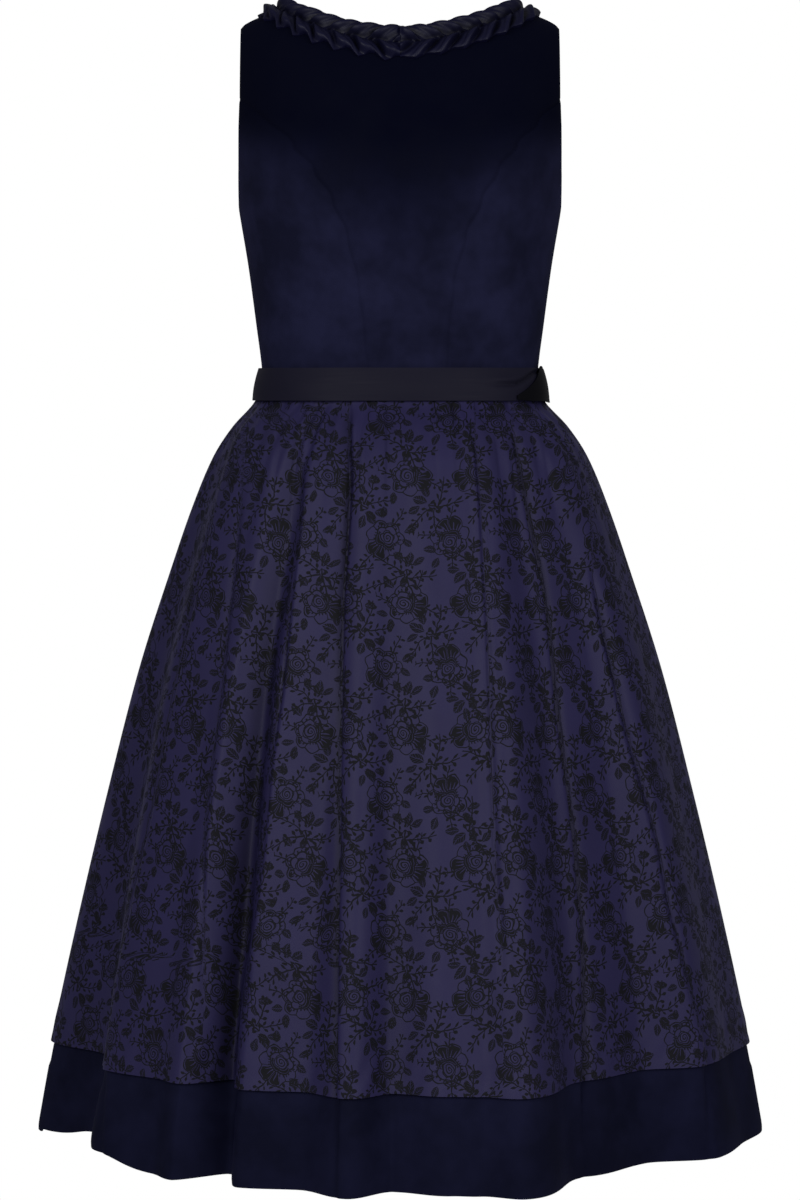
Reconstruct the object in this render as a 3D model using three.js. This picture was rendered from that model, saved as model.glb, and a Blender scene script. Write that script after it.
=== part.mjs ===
// A sleeveless dirndl on a general figure: velvet bodice and skirt, jacquard apron, satin band, neck ruche.
// Millimetres, +Z up. The front faces -Y and the origin lies midway between the two shoulder seams.
// Every piece of cloth is a thin closed wall: an outer surface, an inner one, and rims round its edges.
import * as THREE from 'three';

// Cloth thicknesses and the gaps between pieces
const VELVET = 2.0;
const JACQUARD = 1.4;
const SATIN = 1.4;
const SEAM_GAP = 0.3;
const PRINCESS_PULL = 0.22;
const LAYER_GAP = 0.8;

// Heights of the main lines
const WAIST_Z = -362;
const SKIRT_HEM_Z = -1108;
const APRON_HEM_Z = -1018;
const UNDERARM_Z = -182;
const ARMHOLE_BEND_Z = -78;

// Shoulder line, from the neck to the rounded tip
const SHOULDER_TIP_X = 158;
const SHOULDER_ROUND_X = 140;
const SHOULDER_ROUND_Z = 4;
const SHOULDER_SLOPE = 0.38;
const SHOULDER_ROUNDING = 0.008;

// Neckline: half its width, and how its edge climbs from the centre to the shoulder seam
const NECK_HALF_WIDTH = 112;
const FRONT_NECK_Z = -17.5;
const BACK_NECK_Z = -15;
const NECK_CURVE = 1.9;

// Body sections of the bodice: half width, and depth in front of and behind the side seam
const SQUARENESS = 2.3;
const BODICE_SECTIONS = [
  { z: -370, halfWidth: 137, front: 92, back: 88 },
  { z: -345, halfWidth: 137, front: 92, back: 88 },
  { z: -300, halfWidth: 142.5, front: 102, back: 94 },
  { z: -240, halfWidth: 150.5, front: 117, back: 102 },
  { z: -182, halfWidth: 160, front: 131, back: 108 },
  { z: -150, halfWidth: 164, front: 134, back: 111 },
  { z: -110, halfWidth: 167, front: 127, back: 113 },
  { z: -78, halfWidth: 167, front: 117, back: 111 },
  { z: -40, halfWidth: 167, front: 101, back: 103 },
  { z: 0, halfWidth: 167, front: 88, back: 93 },
  { z: 46, halfWidth: 167, front: 80, back: 86 },
];

// Princess seams, from the armhole over the bust or the shoulder blade to the waist
const FRONT_PRINCESS = [
  { z: -362, left: -31, right: 48 },
  { z: -310, left: -36, right: 49 },
  { z: -260, left: -42, right: 54 },
  { z: -215, left: -52, right: 65 },
  { z: -182, left: -66, right: 80 },
  { z: -152, left: -84, right: 96 },
  { z: -128, left: -104, right: 114 },
  { z: -104, left: -130, right: 135 },
  { z: -78, left: -158, right: 158 },
];
const BACK_PRINCESS = [
  { z: -362, right: 44 },
  { z: -310, right: 48 },
  { z: -250, right: 56 },
  { z: -200, right: 70 },
  { z: -160, right: 88 },
  { z: -128, right: 110 },
  { z: -104, right: 132 },
  { z: -78, right: 158 },
];

// Skirt: half width of the cloth under the apron, height by height
const SKIRT_SECTIONS = [
  { z: -362, halfWidth: 137 },
  { z: -378, halfWidth: 142 },
  { z: -402, halfWidth: 161 },
  { z: -430, halfWidth: 181 },
  { z: -477, halfWidth: 204 },
  { z: -540, halfWidth: 226 },
  { z: -640, halfWidth: 258.5 },
  { z: -760, halfWidth: 290 },
  { z: -890, halfWidth: 321.5 },
  { z: -1018, halfWidth: 350 },
  { z: -1108, halfWidth: 367 },
];
const WAIST_FRONT = 92;
const WAIST_BACK = 88;
const HEM_SQUARENESS = 2;
const FRONT_FLARE = 0.87;
const BACK_FLARE = 0.92;
const FOLD_GROWTH = 0.9;
const FOLD_DRIFT = 0.3;
const COLUMNS_A_FOLD = 3;
const GATHER_TOP_Z = -378;
const GATHER_HEIGHT = 2;
const GATHER_START = 20;
const GATHER_FADE = 90;
const APRON_TUCK = 4;

// Folds round the skirt, in degrees from the centre front, positive to the viewer's right.
// A fold runs from its top angle at the waist to its hem angle, and stands out or in at the hem.
const FOLDS = [
  { name: 'side_seam_left', top: -93, hem: -103, out: -8 },
  { name: 'apron_edge_left', top: -88, hem: -93, out: 0 },
  { name: 'left_panel_hollow', top: -82, hem: -78, out: -52 },
  { name: 'left_panel_ridge', top: -72, hem: -61, out: -13 },
  { name: 'second_hollow', top: -58, hem: -50, out: -18 },
  { name: 'second_ridge', top: -50, hem: -43.5, out: -6 },
  { name: 'third_hollow', top: -42, hem: -38.8, out: -56 },
  { name: 'third_ridge', top: -36, hem: -30, out: -4 },
  { name: 'fourth_hollow', top: -22, hem: -19.5, out: -10 },
  { name: 'fourth_ridge', top: -14, hem: -9, out: 21 },
  { name: 'centre_hollow', top: -1, hem: -1.5, out: -11 },
  { name: 'centre_ridge', top: 16, hem: 9, out: 9 },
  { name: 'fifth_hollow', top: 32, hem: 14, out: 14 },
  { name: 'fifth_ridge', top: 39, hem: 20.5, out: 34 },
  { name: 'deep_hollow', top: 47, hem: 39.5, out: -37 },
  { name: 'right_panel_hollow', top: 56, hem: 57, out: -56 },
  { name: 'right_panel_ridge', top: 64, hem: 68, out: -16 },
  { name: 'sixth_hollow', top: 71, hem: 79, out: -19 },
  { name: 'apron_edge_right', top: 80, hem: 93, out: 0 },
  { name: 'side_seam_right', top: 93, hem: 103, out: -8 },
  { name: 'back_ridge_1', top: 106, hem: 114, out: 6 },
  { name: 'back_hollow_1', top: 118, hem: 125, out: -30 },
  { name: 'back_ridge_2', top: 131, hem: 136, out: 8 },
  { name: 'back_hollow_2', top: 143, hem: 147, out: -24 },
  { name: 'back_ridge_3', top: 156, hem: 158, out: 14 },
  { name: 'back_hollow_3', top: 168, hem: 169, out: -18 },
  { name: 'back_ridge_4', top: 181, hem: 180, out: 10 },
  { name: 'back_hollow_4', top: 194, hem: 193, out: -30 },
  { name: 'back_ridge_5', top: 206, hem: 204, out: 8 },
  { name: 'back_hollow_5', top: 218, hem: 215, out: -34 },
  { name: 'back_ridge_6', top: 230, hem: 228, out: 6 },
  { name: 'back_hollow_6', top: 243, hem: 240, out: -22 },
  { name: 'back_ridge_7', top: 256, hem: 249, out: 2 },
];

// Apron band: its ribbon round the waist, and the folded end tucked over it at the viewer's right
const BAND_TOP_Z = -341.5;
const BAND_BOTTOM_Z = -373.5;
const BAND_END_ANGLE = 92;
const BAND_TOP_OUT = 3.6;
const BAND_BOTTOM_OUT = 9.8;
const BAND_BULGE = 1.2;
const BAND_OVERHANG = 1.1;
const BAND_STEPS_UP = 3;
const BAND_STEPS_ALONG = 26;
const TIE_STEPS_ALONG = 24;
const FLAP_SECTIONS = [
  { angle: 48, top: -368.5, bottom: -372.5 },
  { angle: 56, top: -361.5, bottom: -373.5 },
  { angle: 64, top: -353.5, bottom: -374 },
  { angle: 72, top: -343.5, bottom: -374.5 },
  { angle: 77, top: -339.5, bottom: -375 },
  { angle: 84, top: -342.5, bottom: -375.5 },
  { angle: 93, top: -343.5, bottom: -375.5 },
  { angle: 104, top: -345.5, bottom: -374.5 },
];

// Ruche: a strip pleated into two rows of slanting leaves that meet on its centre line
const RUCHE_WIDTH_CENTRE = 37;
const RUCHE_WIDTH_SHOULDER = 30;
const RUCHE_RISE = 5;
const RUCHE_BASE = 2.2;
const RUCHE_RELIEF = 5.6;
const RUCHE_TIP = 4;
const RUCHE_FOLDS_A_SIDE = 15;
const RUCHE_STEPS_A_FOLD = 4;
const RUCHE_STEPS_ACROSS = 6;
const RUCHE_SLANT = 0.9;
const RUCHE_WALK_STEP = 4;
const RUCHE_END_LIFT = 0.2;

// One leaf of the ruche: where its crest stands, how low its root lies, and how its row is rounded off
const LEAF_CREST = 0.7;
const LEAF_ROOT = 0.25;
const LEAF_MARGIN = 0.12;
const LEAF_ROUNDING = 0.6;

// Mesh steps of the bodice
const ROWS_TO_BEND = 8;
const ROWS_OVER_SHOULDER = 5;
const SIDE_COLUMNS = 5;
const ARMHOLE_BLEND = 3;

const NAVY_VELVET = { color: 0x15172c, roughness: 0.75, metalness: 0 };
const ROSE_JACQUARD = { color: 0x2a2740, roughness: 0.5, metalness: 0 };
const BLACK_SATIN = { color: 0x201f29, roughness: 0.32, metalness: 0 };
const RUCHED_SATIN = { color: 0x1b1930, roughness: 0.45, metalness: 0 };

const radians = THREE.MathUtils.degToRad;
const degrees = THREE.MathUtils.radToDeg;
const mix = THREE.MathUtils.lerp;
const clamp = THREE.MathUtils.clamp;

// A smooth curve through one column of a table whose rows are sorted by z, rising or falling
function fromTable(rows, column, z) {
  const rising = rows[rows.length - 1].z > rows[0].z;
  const last = rows.length - 1;
  let i = 0;
  while (i < last - 1 && (rising ? z > rows[i + 1].z : z < rows[i + 1].z)) {
    i += 1;
  }
  const [a, b] = [rows[i], rows[i + 1]];
  const before = rows[Math.max(i - 1, 0)];
  const after = rows[Math.min(i + 2, last)];
  const width = b.z - a.z;
  const t = clamp((z - a.z) / width, 0, 1);
  const slopeA = i === 0 ? (b[column] - a[column]) / width : (b[column] - before[column]) / (b.z - before.z);
  const slopeB = i + 1 === last ? (b[column] - a[column]) / width : (after[column] - a[column]) / (after.z - a.z);
  const t2 = t * t;
  const t3 = t2 * t;
  return (
    (2 * t3 - 3 * t2 + 1) * a[column]
    + (t3 - 2 * t2 + t) * width * slopeA
    + (3 * t2 - 2 * t3) * b[column]
    + (t3 - t2) * width * slopeB
  );
}

function signedPower(value, power) {
  return Math.sign(value) * Math.abs(value) ** power;
}

// Height of the shoulder line over a point x out from the centre
function shoulderHeight(x) {
  const out = Math.abs(x);
  const past = Math.max(out - SHOULDER_ROUND_X, 0);
  return SHOULDER_ROUND_Z + SHOULDER_SLOPE * (SHOULDER_ROUND_X - out) - SHOULDER_ROUNDING * past * past;
}

// How far a point has climbed from the bend of the armhole to the shoulder line, from 0 to 1
function shoulderClimb(x, z) {
  return clamp((z - ARMHOLE_BEND_Z) / (shoulderHeight(x) - ARMHOLE_BEND_Z), 0, 1);
}

// A point of the bodice: angle 0 is the centre front, 90 the side seam, 180 the centre back
function bodicePoint(angle, z) {
  const turn = radians(angle);
  const isFront = Math.cos(turn) >= 0;
  const power = 2 / SQUARENESS;
  const x = fromTable(BODICE_SECTIONS, 'halfWidth', z) * signedPower(Math.sin(turn), power);
  const depth = fromTable(BODICE_SECTIONS, isFront ? 'front' : 'back', z);
  const climb = shoulderClimb(x, z);
  const rounding = Math.sqrt(1 - climb * climb);
  return new THREE.Vector3(x, -depth * signedPower(Math.cos(turn), power) * rounding, z);
}

// The angle at which the front of the bodice passes x at height z
function bodiceAngle(x, z) {
  const share = clamp(Math.abs(x) / fromTable(BODICE_SECTIONS, 'halfWidth', z), 0, 1);
  return Math.sign(x) * degrees(Math.asin(share ** (SQUARENESS / 2)));
}

// The outward normal of a surface that is given by two parameters
function surfaceNormal(surface, a, b, stepA, stepB) {
  const alongA = surface(a + stepA, b).sub(surface(a - stepA, b));
  const alongB = surface(a, b + stepB).sub(surface(a, b - stepB));
  return alongA.cross(alongB).normalize();
}

function bodiceNormal(angle, z) {
  return surfaceNormal(bodicePoint, angle, z, 0.05, 0.05);
}

// Turns a grid of outer points and normals into one closed wall.
// A pull moves an edge back from its seam: [first row, last row, first column, last column].
function clothWall(grid, thickness, pulls = [0, 0, 0, 0]) {
  const rows = grid.length;
  const columns = grid[0].length;
  const outer = grid.map((row) => row.map((node) => node.point.clone()));
  const inner = grid.map((row) => row.map((node) => {
    const wall = node.thickness ?? thickness;
    return node.point.clone().addScaledVector(node.normal, -wall);
  }));
  for (const layer of [outer, inner]) {
    for (let c = 0; c < columns; c += 1) {
      pullBack(layer[0][c], layer[1][c], pulls[0]);
      pullBack(layer[rows - 1][c], layer[rows - 2][c], pulls[1]);
    }
    for (let r = 0; r < rows; r += 1) {
      pullBack(layer[r][0], layer[r][1], pulls[2]);
      pullBack(layer[r][columns - 1], layer[r][columns - 2], pulls[3]);
    }
  }
  const positions = [];
  for (const layer of [outer, inner]) {
    for (const row of layer) {
      for (const point of row) {
        positions.push(point.x, point.y, point.z);
      }
    }
  }
  const at = (layer, r, c) => layer * rows * columns + r * columns + c;
  const index = [];
  const quad = (a, b, c, d) => index.push(a, b, c, a, c, d);
  for (let r = 0; r < rows - 1; r += 1) {
    for (let c = 0; c < columns - 1; c += 1) {
      quad(at(0, r, c), at(0, r, c + 1), at(0, r + 1, c + 1), at(0, r + 1, c));
      quad(at(1, r, c), at(1, r + 1, c), at(1, r + 1, c + 1), at(1, r, c + 1));
    }
    quad(at(0, r, 0), at(0, r + 1, 0), at(1, r + 1, 0), at(1, r, 0));
    quad(at(0, r + 1, columns - 1), at(0, r, columns - 1), at(1, r, columns - 1), at(1, r + 1, columns - 1));
  }
  for (let c = 0; c < columns - 1; c += 1) {
    quad(at(0, 0, c + 1), at(0, 0, c), at(1, 0, c), at(1, 0, c + 1));
    quad(at(0, rows - 1, c), at(0, rows - 1, c + 1), at(1, rows - 1, c + 1), at(1, rows - 1, c));
  }
  return closedGeometry(positions, index);
}

function pullBack(point, neighbour, distance) {
  if (distance > 0) {
    const way = neighbour.clone().sub(point);
    point.addScaledVector(way, distance / way.length());
  }
}

// A geometry whose faces all point out, whichever way its grid ran
function closedGeometry(positions, index) {
  let volume = 0;
  const corner = (i) => new THREE.Vector3().fromArray(positions, 3 * index[i]);
  for (let i = 0; i < index.length; i += 3) {
    volume += corner(i).dot(corner(i + 1).cross(corner(i + 2)));
  }
  if (volume < 0) {
    index.reverse();
  }
  const geometry = new THREE.BufferGeometry();
  geometry.setAttribute('position', new THREE.Float32BufferAttribute(positions, 3));
  geometry.setIndex(index);
  geometry.computeVertexNormals();
  return geometry;
}

// Shares of the way from the waist to the shoulder tip, with a row on the bend of the armhole
function centrePanelRows() {
  const tip = shoulderHeight(SHOULDER_TIP_X);
  const rows = [];
  for (let i = 0; i <= ROWS_TO_BEND; i += 1) {
    rows.push(mix(WAIST_Z, ARMHOLE_BEND_Z, i / ROWS_TO_BEND));
  }
  for (let i = 1; i <= ROWS_OVER_SHOULDER; i += 1) {
    const climb = Math.sin((i / ROWS_OVER_SHOULDER) * Math.PI / 2);
    rows.push(mix(ARMHOLE_BEND_Z, tip, climb));
  }
  return rows.map((z) => (z - WAIST_Z) / (tip - WAIST_Z));
}

// Top edge of a centre panel: the neckline, and the shoulder seam beyond it
function topEdge(x, centreZ) {
  const seamZ = shoulderHeight(NECK_HALF_WIDTH);
  if (Math.abs(x) >= NECK_HALF_WIDTH) {
    return shoulderHeight(x);
  }
  return centreZ + (seamZ - centreZ) * (Math.abs(x) / NECK_HALF_WIDTH) ** NECK_CURVE;
}

// Fractions of the half width at which the columns of a centre panel stand, from the centre to the tip
const NECK_SHARE = NECK_HALF_WIDTH / SHOULDER_TIP_X;
const NECK_TURNS = [0, 18, 36, 52, 66, 79, 90];
const CENTRE_COLUMNS = [
  ...NECK_TURNS.map((turn) => NECK_SHARE * Math.sin(radians(turn))),
  mix(NECK_SHARE, 1, 0.5),
  1,
];

function seamX(table, column, z) {
  return z >= ARMHOLE_BEND_Z ? SHOULDER_TIP_X : Math.abs(fromTable(table, column, z));
}

// A grid over the part of the front or back between two princess seams or the centre-back seam
function centreGrid(shares, leftX, rightX, neckZ, isBack) {
  return centrePanelRows().map((climb) => shares.map((share) => {
    const top = topEdge(share * SHOULDER_TIP_X, neckZ);
    const z = mix(WAIST_Z, top, climb);
    const x = share < 0 ? share * leftX(z) : share * rightX(z);
    const frontAngle = bodiceAngle(x, z);
    const angle = isBack ? 180 - frontAngle : frontAngle;
    return { point: bodicePoint(angle, z), normal: bodiceNormal(angle, z) };
  }));
}

function bodiceFrontCentre() {
  const leftShares = CENTRE_COLUMNS.slice(1).reverse().map((share) => -share);
  const left = (z) => seamX(FRONT_PRINCESS, 'left', z);
  const right = (z) => seamX(FRONT_PRINCESS, 'right', z);
  const grid = centreGrid([...leftShares, ...CENTRE_COLUMNS], left, right, FRONT_NECK_Z, false);
  const half = SEAM_GAP / 2;
  return clothWall(grid, VELVET, [half, half, PRINCESS_PULL, PRINCESS_PULL]);
}

function bodiceBackCentre(side) {
  const seam = (z) => seamX(BACK_PRINCESS, 'right', z);
  const shares = CENTRE_COLUMNS.map((share) => side * share);
  const grid = centreGrid(shares, seam, seam, BACK_NECK_Z, true);
  const half = SEAM_GAP / 2;
  return clothWall(grid, VELVET, [half, half, half, PRINCESS_PULL]);
}

// Lower quarter of an armhole edge: t runs from the princess seam down to the underarm
function armholeEdge(t) {
  const turn = (1 - t) * Math.PI / 2;
  const bendAngle = bodiceAngle(SHOULDER_TIP_X, ARMHOLE_BEND_Z);
  return {
    angle: 90 - (90 - bendAngle) * Math.sin(turn),
    z: mix(UNDERARM_Z, ARMHOLE_BEND_Z, 1 - Math.cos(turn)),
  };
}

// A side panel between a princess seam and the side seam, from the waist to the armhole
function bodiceSide(side, table, column, isBack) {
  const seamAngle = (z) => bodiceAngle(seamX(table, column, z), z);
  const grid = [];
  for (let r = 0; r <= ROWS_TO_BEND; r += 1) {
    const climb = r / ROWS_TO_BEND;
    const row = [];
    for (let c = 0; c <= SIDE_COLUMNS; c += 1) {
      const across = c / SIDE_COLUMNS;
      const edge = armholeEdge(across);
      const z = mix(WAIST_Z, edge.z, climb);
      const straight = mix(seamAngle(z), 90, across);
      const miss = edge.angle - mix(seamAngle(edge.z), 90, across);
      const frontAngle = straight + miss * climb ** ARMHOLE_BLEND;
      const angle = side * (isBack ? 180 - frontAngle : frontAngle);
      row.push({ point: bodicePoint(angle, z), normal: bodiceNormal(angle, z) });
    }
    grid.push(row);
  }
  const half = SEAM_GAP / 2;
  return clothWall(grid, VELVET, [half, 0, PRINCESS_PULL, half]);
}

// Radius of an oval at an angle from the centre front
function ovalRadius(angle, halfWidth, depth, squareness) {
  const turn = radians(angle);
  const across = Math.abs(Math.sin(turn) / halfWidth) ** squareness;
  const along = Math.abs(Math.cos(turn) / depth) ** squareness;
  return (across + along) ** (-1 / squareness);
}

// How far down the skirt a height is, from 0 at the waist to 1 at the hem
function skirtShare(z) {
  return clamp((WAIST_Z - z) / (WAIST_Z - SKIRT_HEM_Z), 0, 1);
}

const foldIndex = (name) => FOLDS.findIndex((fold) => fold.name === name);

// The fold at any whole column: the columns go on round the skirt, a full turn for each round
function foldAt(i) {
  const rounds = Math.floor(i / FOLDS.length);
  const fold = FOLDS[i - rounds * FOLDS.length];
  return { top: fold.top + 360 * rounds, hem: fold.hem + 360 * rounds, out: fold.out };
}

function foldAngle(fold, z) {
  return mix(fold.top, fold.hem, skirtShare(z) ** FOLD_DRIFT);
}

// A column of the skirt, counted in folds with a fraction, gives its angle and how far it stands out
function columnAngle(column, z) {
  const i = Math.floor(column);
  return mix(foldAngle(foldAt(i), z), foldAngle(foldAt(i + 1), z), column - i);
}

function columnOut(column, z) {
  const i = Math.floor(column);
  const ease = (1 - Math.cos(Math.PI * (column - i))) / 2;
  const out = mix(foldAt(i).out, foldAt(i + 1).out, ease);
  const gather = GATHER_HEIGHT * Math.cos(Math.PI * COLUMNS_A_FOLD * column);
  const belowBand = Math.max(GATHER_TOP_Z - z, 0);
  const fade = Math.min(belowBand / GATHER_START, 1) * Math.exp(-belowBand / GATHER_FADE);
  return out * skirtShare(z) ** FOLD_GROWTH + gather * fade;
}

function skirtPoint(column, z) {
  const angle = columnAngle(column, z);
  const turn = radians(angle);
  const halfWidth = fromTable(SKIRT_SECTIONS, 'halfWidth', z);
  const flare = halfWidth - SKIRT_SECTIONS[0].halfWidth;
  const isFront = Math.cos(turn) >= 0;
  const depth = isFront ? WAIST_FRONT + FRONT_FLARE * flare : WAIST_BACK + BACK_FLARE * flare;
  const squareness = mix(SQUARENESS, HEM_SQUARENESS, skirtShare(z));
  const radius = ovalRadius(angle, halfWidth, depth, squareness) + columnOut(column, z);
  return new THREE.Vector3(radius * Math.sin(turn), -radius * Math.cos(turn), z);
}

function skirtNormal(column, z) {
  return surfaceNormal(skirtPoint, column, z, 0.02, 0.5);
}

// A skirt or apron panel between two fold columns, on the skirt's points moved out
function skirtPanel(firstColumn, lastColumn, heights, out, thickness, pulls) {
  const steps = Math.round((lastColumn - firstColumn) * COLUMNS_A_FOLD);
  const grid = heights.map((z) => {
    const row = [];
    for (let c = 0; c <= steps; c += 1) {
      const column = firstColumn + c / COLUMNS_A_FOLD;
      const normal = skirtNormal(column, z);
      row.push({ point: skirtPoint(column, z).addScaledVector(normal, out), normal });
    }
    return row;
  });
  return clothWall(grid, thickness, pulls);
}

// A velvet gore of the skirt, between the seams that lie on two of its folds
function skirtGore(firstFold, lastFold) {
  const heights = SKIRT_SECTIONS.map((row) => row.z);
  const half = SEAM_GAP / 2;
  const first = foldIndex(firstFold);
  const last = foldIndex(lastFold) || FOLDS.length;
  return skirtPanel(first, last, heights, 0, VELVET, [half, 0, half, half]);
}

function apronPanel() {
  const heights = SKIRT_SECTIONS.map((row) => row.z).filter((z) => z < WAIST_Z && z >= APRON_HEM_Z);
  const columns = [foldIndex('apron_edge_left'), foldIndex('apron_edge_right')];
  return skirtPanel(...columns, [WAIST_Z - APRON_TUCK, ...heights], LAYER_GAP + JACQUARD, JACQUARD, [0, 0, 0, 0]);
}

// A point on the outside of the waist ribbon, moved out by a layer where asked
function bandPoint(angle, z, layer) {
  const turn = radians(angle);
  const down = (BAND_TOP_Z - z) / (BAND_TOP_Z - BAND_BOTTOM_Z);
  const out = mix(BAND_TOP_OUT, BAND_BOTTOM_OUT, clamp(down, 0, BAND_OVERHANG)) + layer;
  const base = SKIRT_SECTIONS[0].halfWidth;
  const isFront = Math.cos(turn) >= 0;
  const depth = isFront ? WAIST_FRONT : WAIST_BACK;
  const power = 2 / SQUARENESS;
  const bulge = BAND_BULGE * Math.sin(Math.PI * clamp(down, 0, 1));
  return new THREE.Vector3(
    (base + out + bulge) * signedPower(Math.sin(turn), power),
    -(depth + out + bulge) * signedPower(Math.cos(turn), power),
    z,
  );
}

// A stretch of ribbon between two angles, with its top and bottom edges given angle by angle
function ribbon(angles, edges, layer, pulls) {
  const shares = stepsBetween(0, 1, BAND_STEPS_UP);
  const surface = (angle, z) => bandPoint(angle, z, layer);
  const grid = shares.map((share) => angles.map((angle) => {
    const { top, bottom } = edges(angle);
    const z = mix(bottom, top, share);
    return { point: surface(angle, z), normal: surfaceNormal(surface, angle, z, 0.2, 0.2) };
  }));
  return clothWall(grid, SATIN, pulls);
}

function stepsBetween(first, last, count) {
  return Array.from({ length: count + 1 }, (_, i) => mix(first, last, i / count));
}

function apronBand() {
  const half = SEAM_GAP / 2;
  const angles = stepsBetween(-BAND_END_ANGLE, BAND_END_ANGLE, BAND_STEPS_ALONG);
  return ribbon(angles, () => ({ top: BAND_TOP_Z, bottom: BAND_BOTTOM_Z }), 0, [0, 0, half, half]);
}

function tieBack() {
  const half = SEAM_GAP / 2;
  const angles = stepsBetween(BAND_END_ANGLE, 360 - BAND_END_ANGLE, TIE_STEPS_ALONG);
  return ribbon(angles, () => ({ top: BAND_TOP_Z, bottom: BAND_BOTTOM_Z }), 0, [0, 0, half, half]);
}

function tieEnd() {
  const angles = FLAP_SECTIONS.map((row) => row.angle);
  const edges = (angle) => FLAP_SECTIONS.find((row) => row.angle === angle);
  return ribbon(angles, edges, SATIN + LAYER_GAP, [0, 0, 0, 0]);
}

// A point over the shoulders: climb 0 to 90 degrees runs up the front, 90 to 180 down the back
function shoulderPoint(x, climb) {
  const turn = radians(climb);
  const z = mix(ARMHOLE_BEND_Z, shoulderHeight(x), Math.sin(turn));
  const depth = fromTable(BODICE_SECTIONS, climb <= 90 ? 'front' : 'back', z);
  const across = Math.abs(x) / fromTable(BODICE_SECTIONS, 'halfWidth', z);
  const width = (1 - Math.min(across, 1) ** SQUARENESS) ** (1 / SQUARENESS);
  return new THREE.Vector3(x, -depth * width * Math.cos(turn), z);
}

// The neckline as x and climb: turn -90 is the left shoulder seam, 0 the centre front, 180 the centre back
function necklinePlace(turn) {
  const x = NECK_HALF_WIDTH * Math.sin(radians(turn));
  const isFront = Math.cos(radians(turn)) >= 0;
  const z = topEdge(clamp(x, -NECK_HALF_WIDTH, NECK_HALF_WIDTH), isFront ? FRONT_NECK_Z : BACK_NECK_Z);
  const climb = degrees(Math.asin(shoulderClimb(x, z)));
  return { x, climb: isFront ? climb : 180 - climb };
}

// Walks over the shoulders from the neckline, straight away from its edge, and marks each distance
function walkFromNeckline(turn, distances) {
  const place = necklinePlace(turn);
  const before = necklinePlace(turn - 1);
  const after = necklinePlace(turn + 1);
  const along = shoulderPoint(after.x, after.climb).sub(shoulderPoint(before.x, before.climb)).normalize();
  let { x, climb } = place;
  let walked = 0;
  const marks = [];
  for (const distance of distances) {
    while (Math.abs(distance - walked) > 1e-6) {
      const step = clamp(distance - walked, -RUCHE_WALK_STEP, RUCHE_WALK_STEP);
      const overX = shoulderPoint(x + 0.5, climb).sub(shoulderPoint(x - 0.5, climb));
      const overClimb = shoulderPoint(x, climb + 0.5).sub(shoulderPoint(x, climb - 0.5));
      const normal = overX.clone().cross(overClimb).normalize();
      const away = along.clone().cross(normal).normalize();
      const [xx, xc, cc] = [overX.dot(overX), overX.dot(overClimb), overClimb.dot(overClimb)];
      const [bx, bc] = [overX.dot(away), overClimb.dot(away)];
      const scale = step / (xx * cc - xc * xc);
      x += (bx * cc - bc * xc) * scale;
      climb += (bc * xx - bx * xc) * scale;
      walked += step;
    }
    marks.push({ point: shoulderPoint(x, climb), normal: surfaceNormal(shoulderPoint, x, climb, 0.3, 0.3) });
  }
  return marks;
}

// Height of the ruche over its base: slanting leaves, each tucked under the next, in two rows
function leafRelief(fold, across) {
  const row = across < 0.5 ? across * 2 : 2 - across * 2;
  const lean = fold + RUCHE_SLANT * (0.5 - row);
  const phase = lean - Math.floor(lean);
  const leaf = phase < LEAF_CREST ? phase / LEAF_CREST : (1 - phase) / (1 - LEAF_CREST);
  const rowArch = Math.sin(Math.PI * mix(LEAF_MARGIN, 1 - LEAF_MARGIN, row)) ** LEAF_ROUNDING;
  return RUCHE_RELIEF * mix(LEAF_ROOT, 1, leaf) * rowArch;
}

// One side of the ruche, from the centre front over the shoulder to the centre back
function neckRuche(side) {
  const folds = RUCHE_FOLDS_A_SIDE;
  const stations = folds * RUCHE_STEPS_A_FOLD;
  const turns = evenNeckTurns(stations);
  const grid = turns.map((turn, i) => {
    const fold = i / RUCHE_STEPS_A_FOLD;
    const phase = fold - Math.floor(fold);
    const tip = RUCHE_TIP * Math.sin(Math.PI * phase) ** 2;
    const fullWidth = mix(RUCHE_WIDTH_CENTRE, RUCHE_WIDTH_SHOULDER, Math.sin(radians(turn)));
    const width = fullWidth + tip - RUCHE_TIP / 2;
    const shares = stepsBetween(0, 1, RUCHE_STEPS_ACROSS);
    const marks = walkFromNeckline(side * turn, shares.map((share) => width * share - RUCHE_RISE));
    return marks.map(({ point, normal }, c) => {
      const height = RUCHE_BASE + leafRelief(fold, shares[c]);
      const base = SEAM_GAP + (i === 0 || i === stations ? RUCHE_END_LIFT : 0);
      return { point: point.addScaledVector(normal, base + height), normal, thickness: height };
    });
  });
  const half = SEAM_GAP / 2;
  return clothWall(grid, 0, [half, half, 0, 0]);
}

// Turns that part half of the neckline into even lengths
function evenNeckTurns(count) {
  const fine = stepsBetween(0, 180, 360);
  const points = fine.map((turn) => {
    const { x, climb } = necklinePlace(turn);
    return shoulderPoint(x, climb);
  });
  const lengths = [0];
  for (let i = 1; i < points.length; i += 1) {
    lengths.push(lengths[i - 1] + points[i].distanceTo(points[i - 1]));
  }
  const total = lengths[lengths.length - 1];
  return stepsBetween(0, total, count).map((length) => {
    const i = Math.max(lengths.findIndex((value) => value >= length - 1e-9), 1);
    return mix(fine[i - 1], fine[i], (length - lengths[i - 1]) / (lengths[i] - lengths[i - 1]));
  });
}

const group = new THREE.Group();

function addPiece(name, geometry, look) {
  const mesh = new THREE.Mesh(geometry, new THREE.MeshStandardMaterial(look));
  mesh.name = name;
  group.add(mesh);
}

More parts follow.
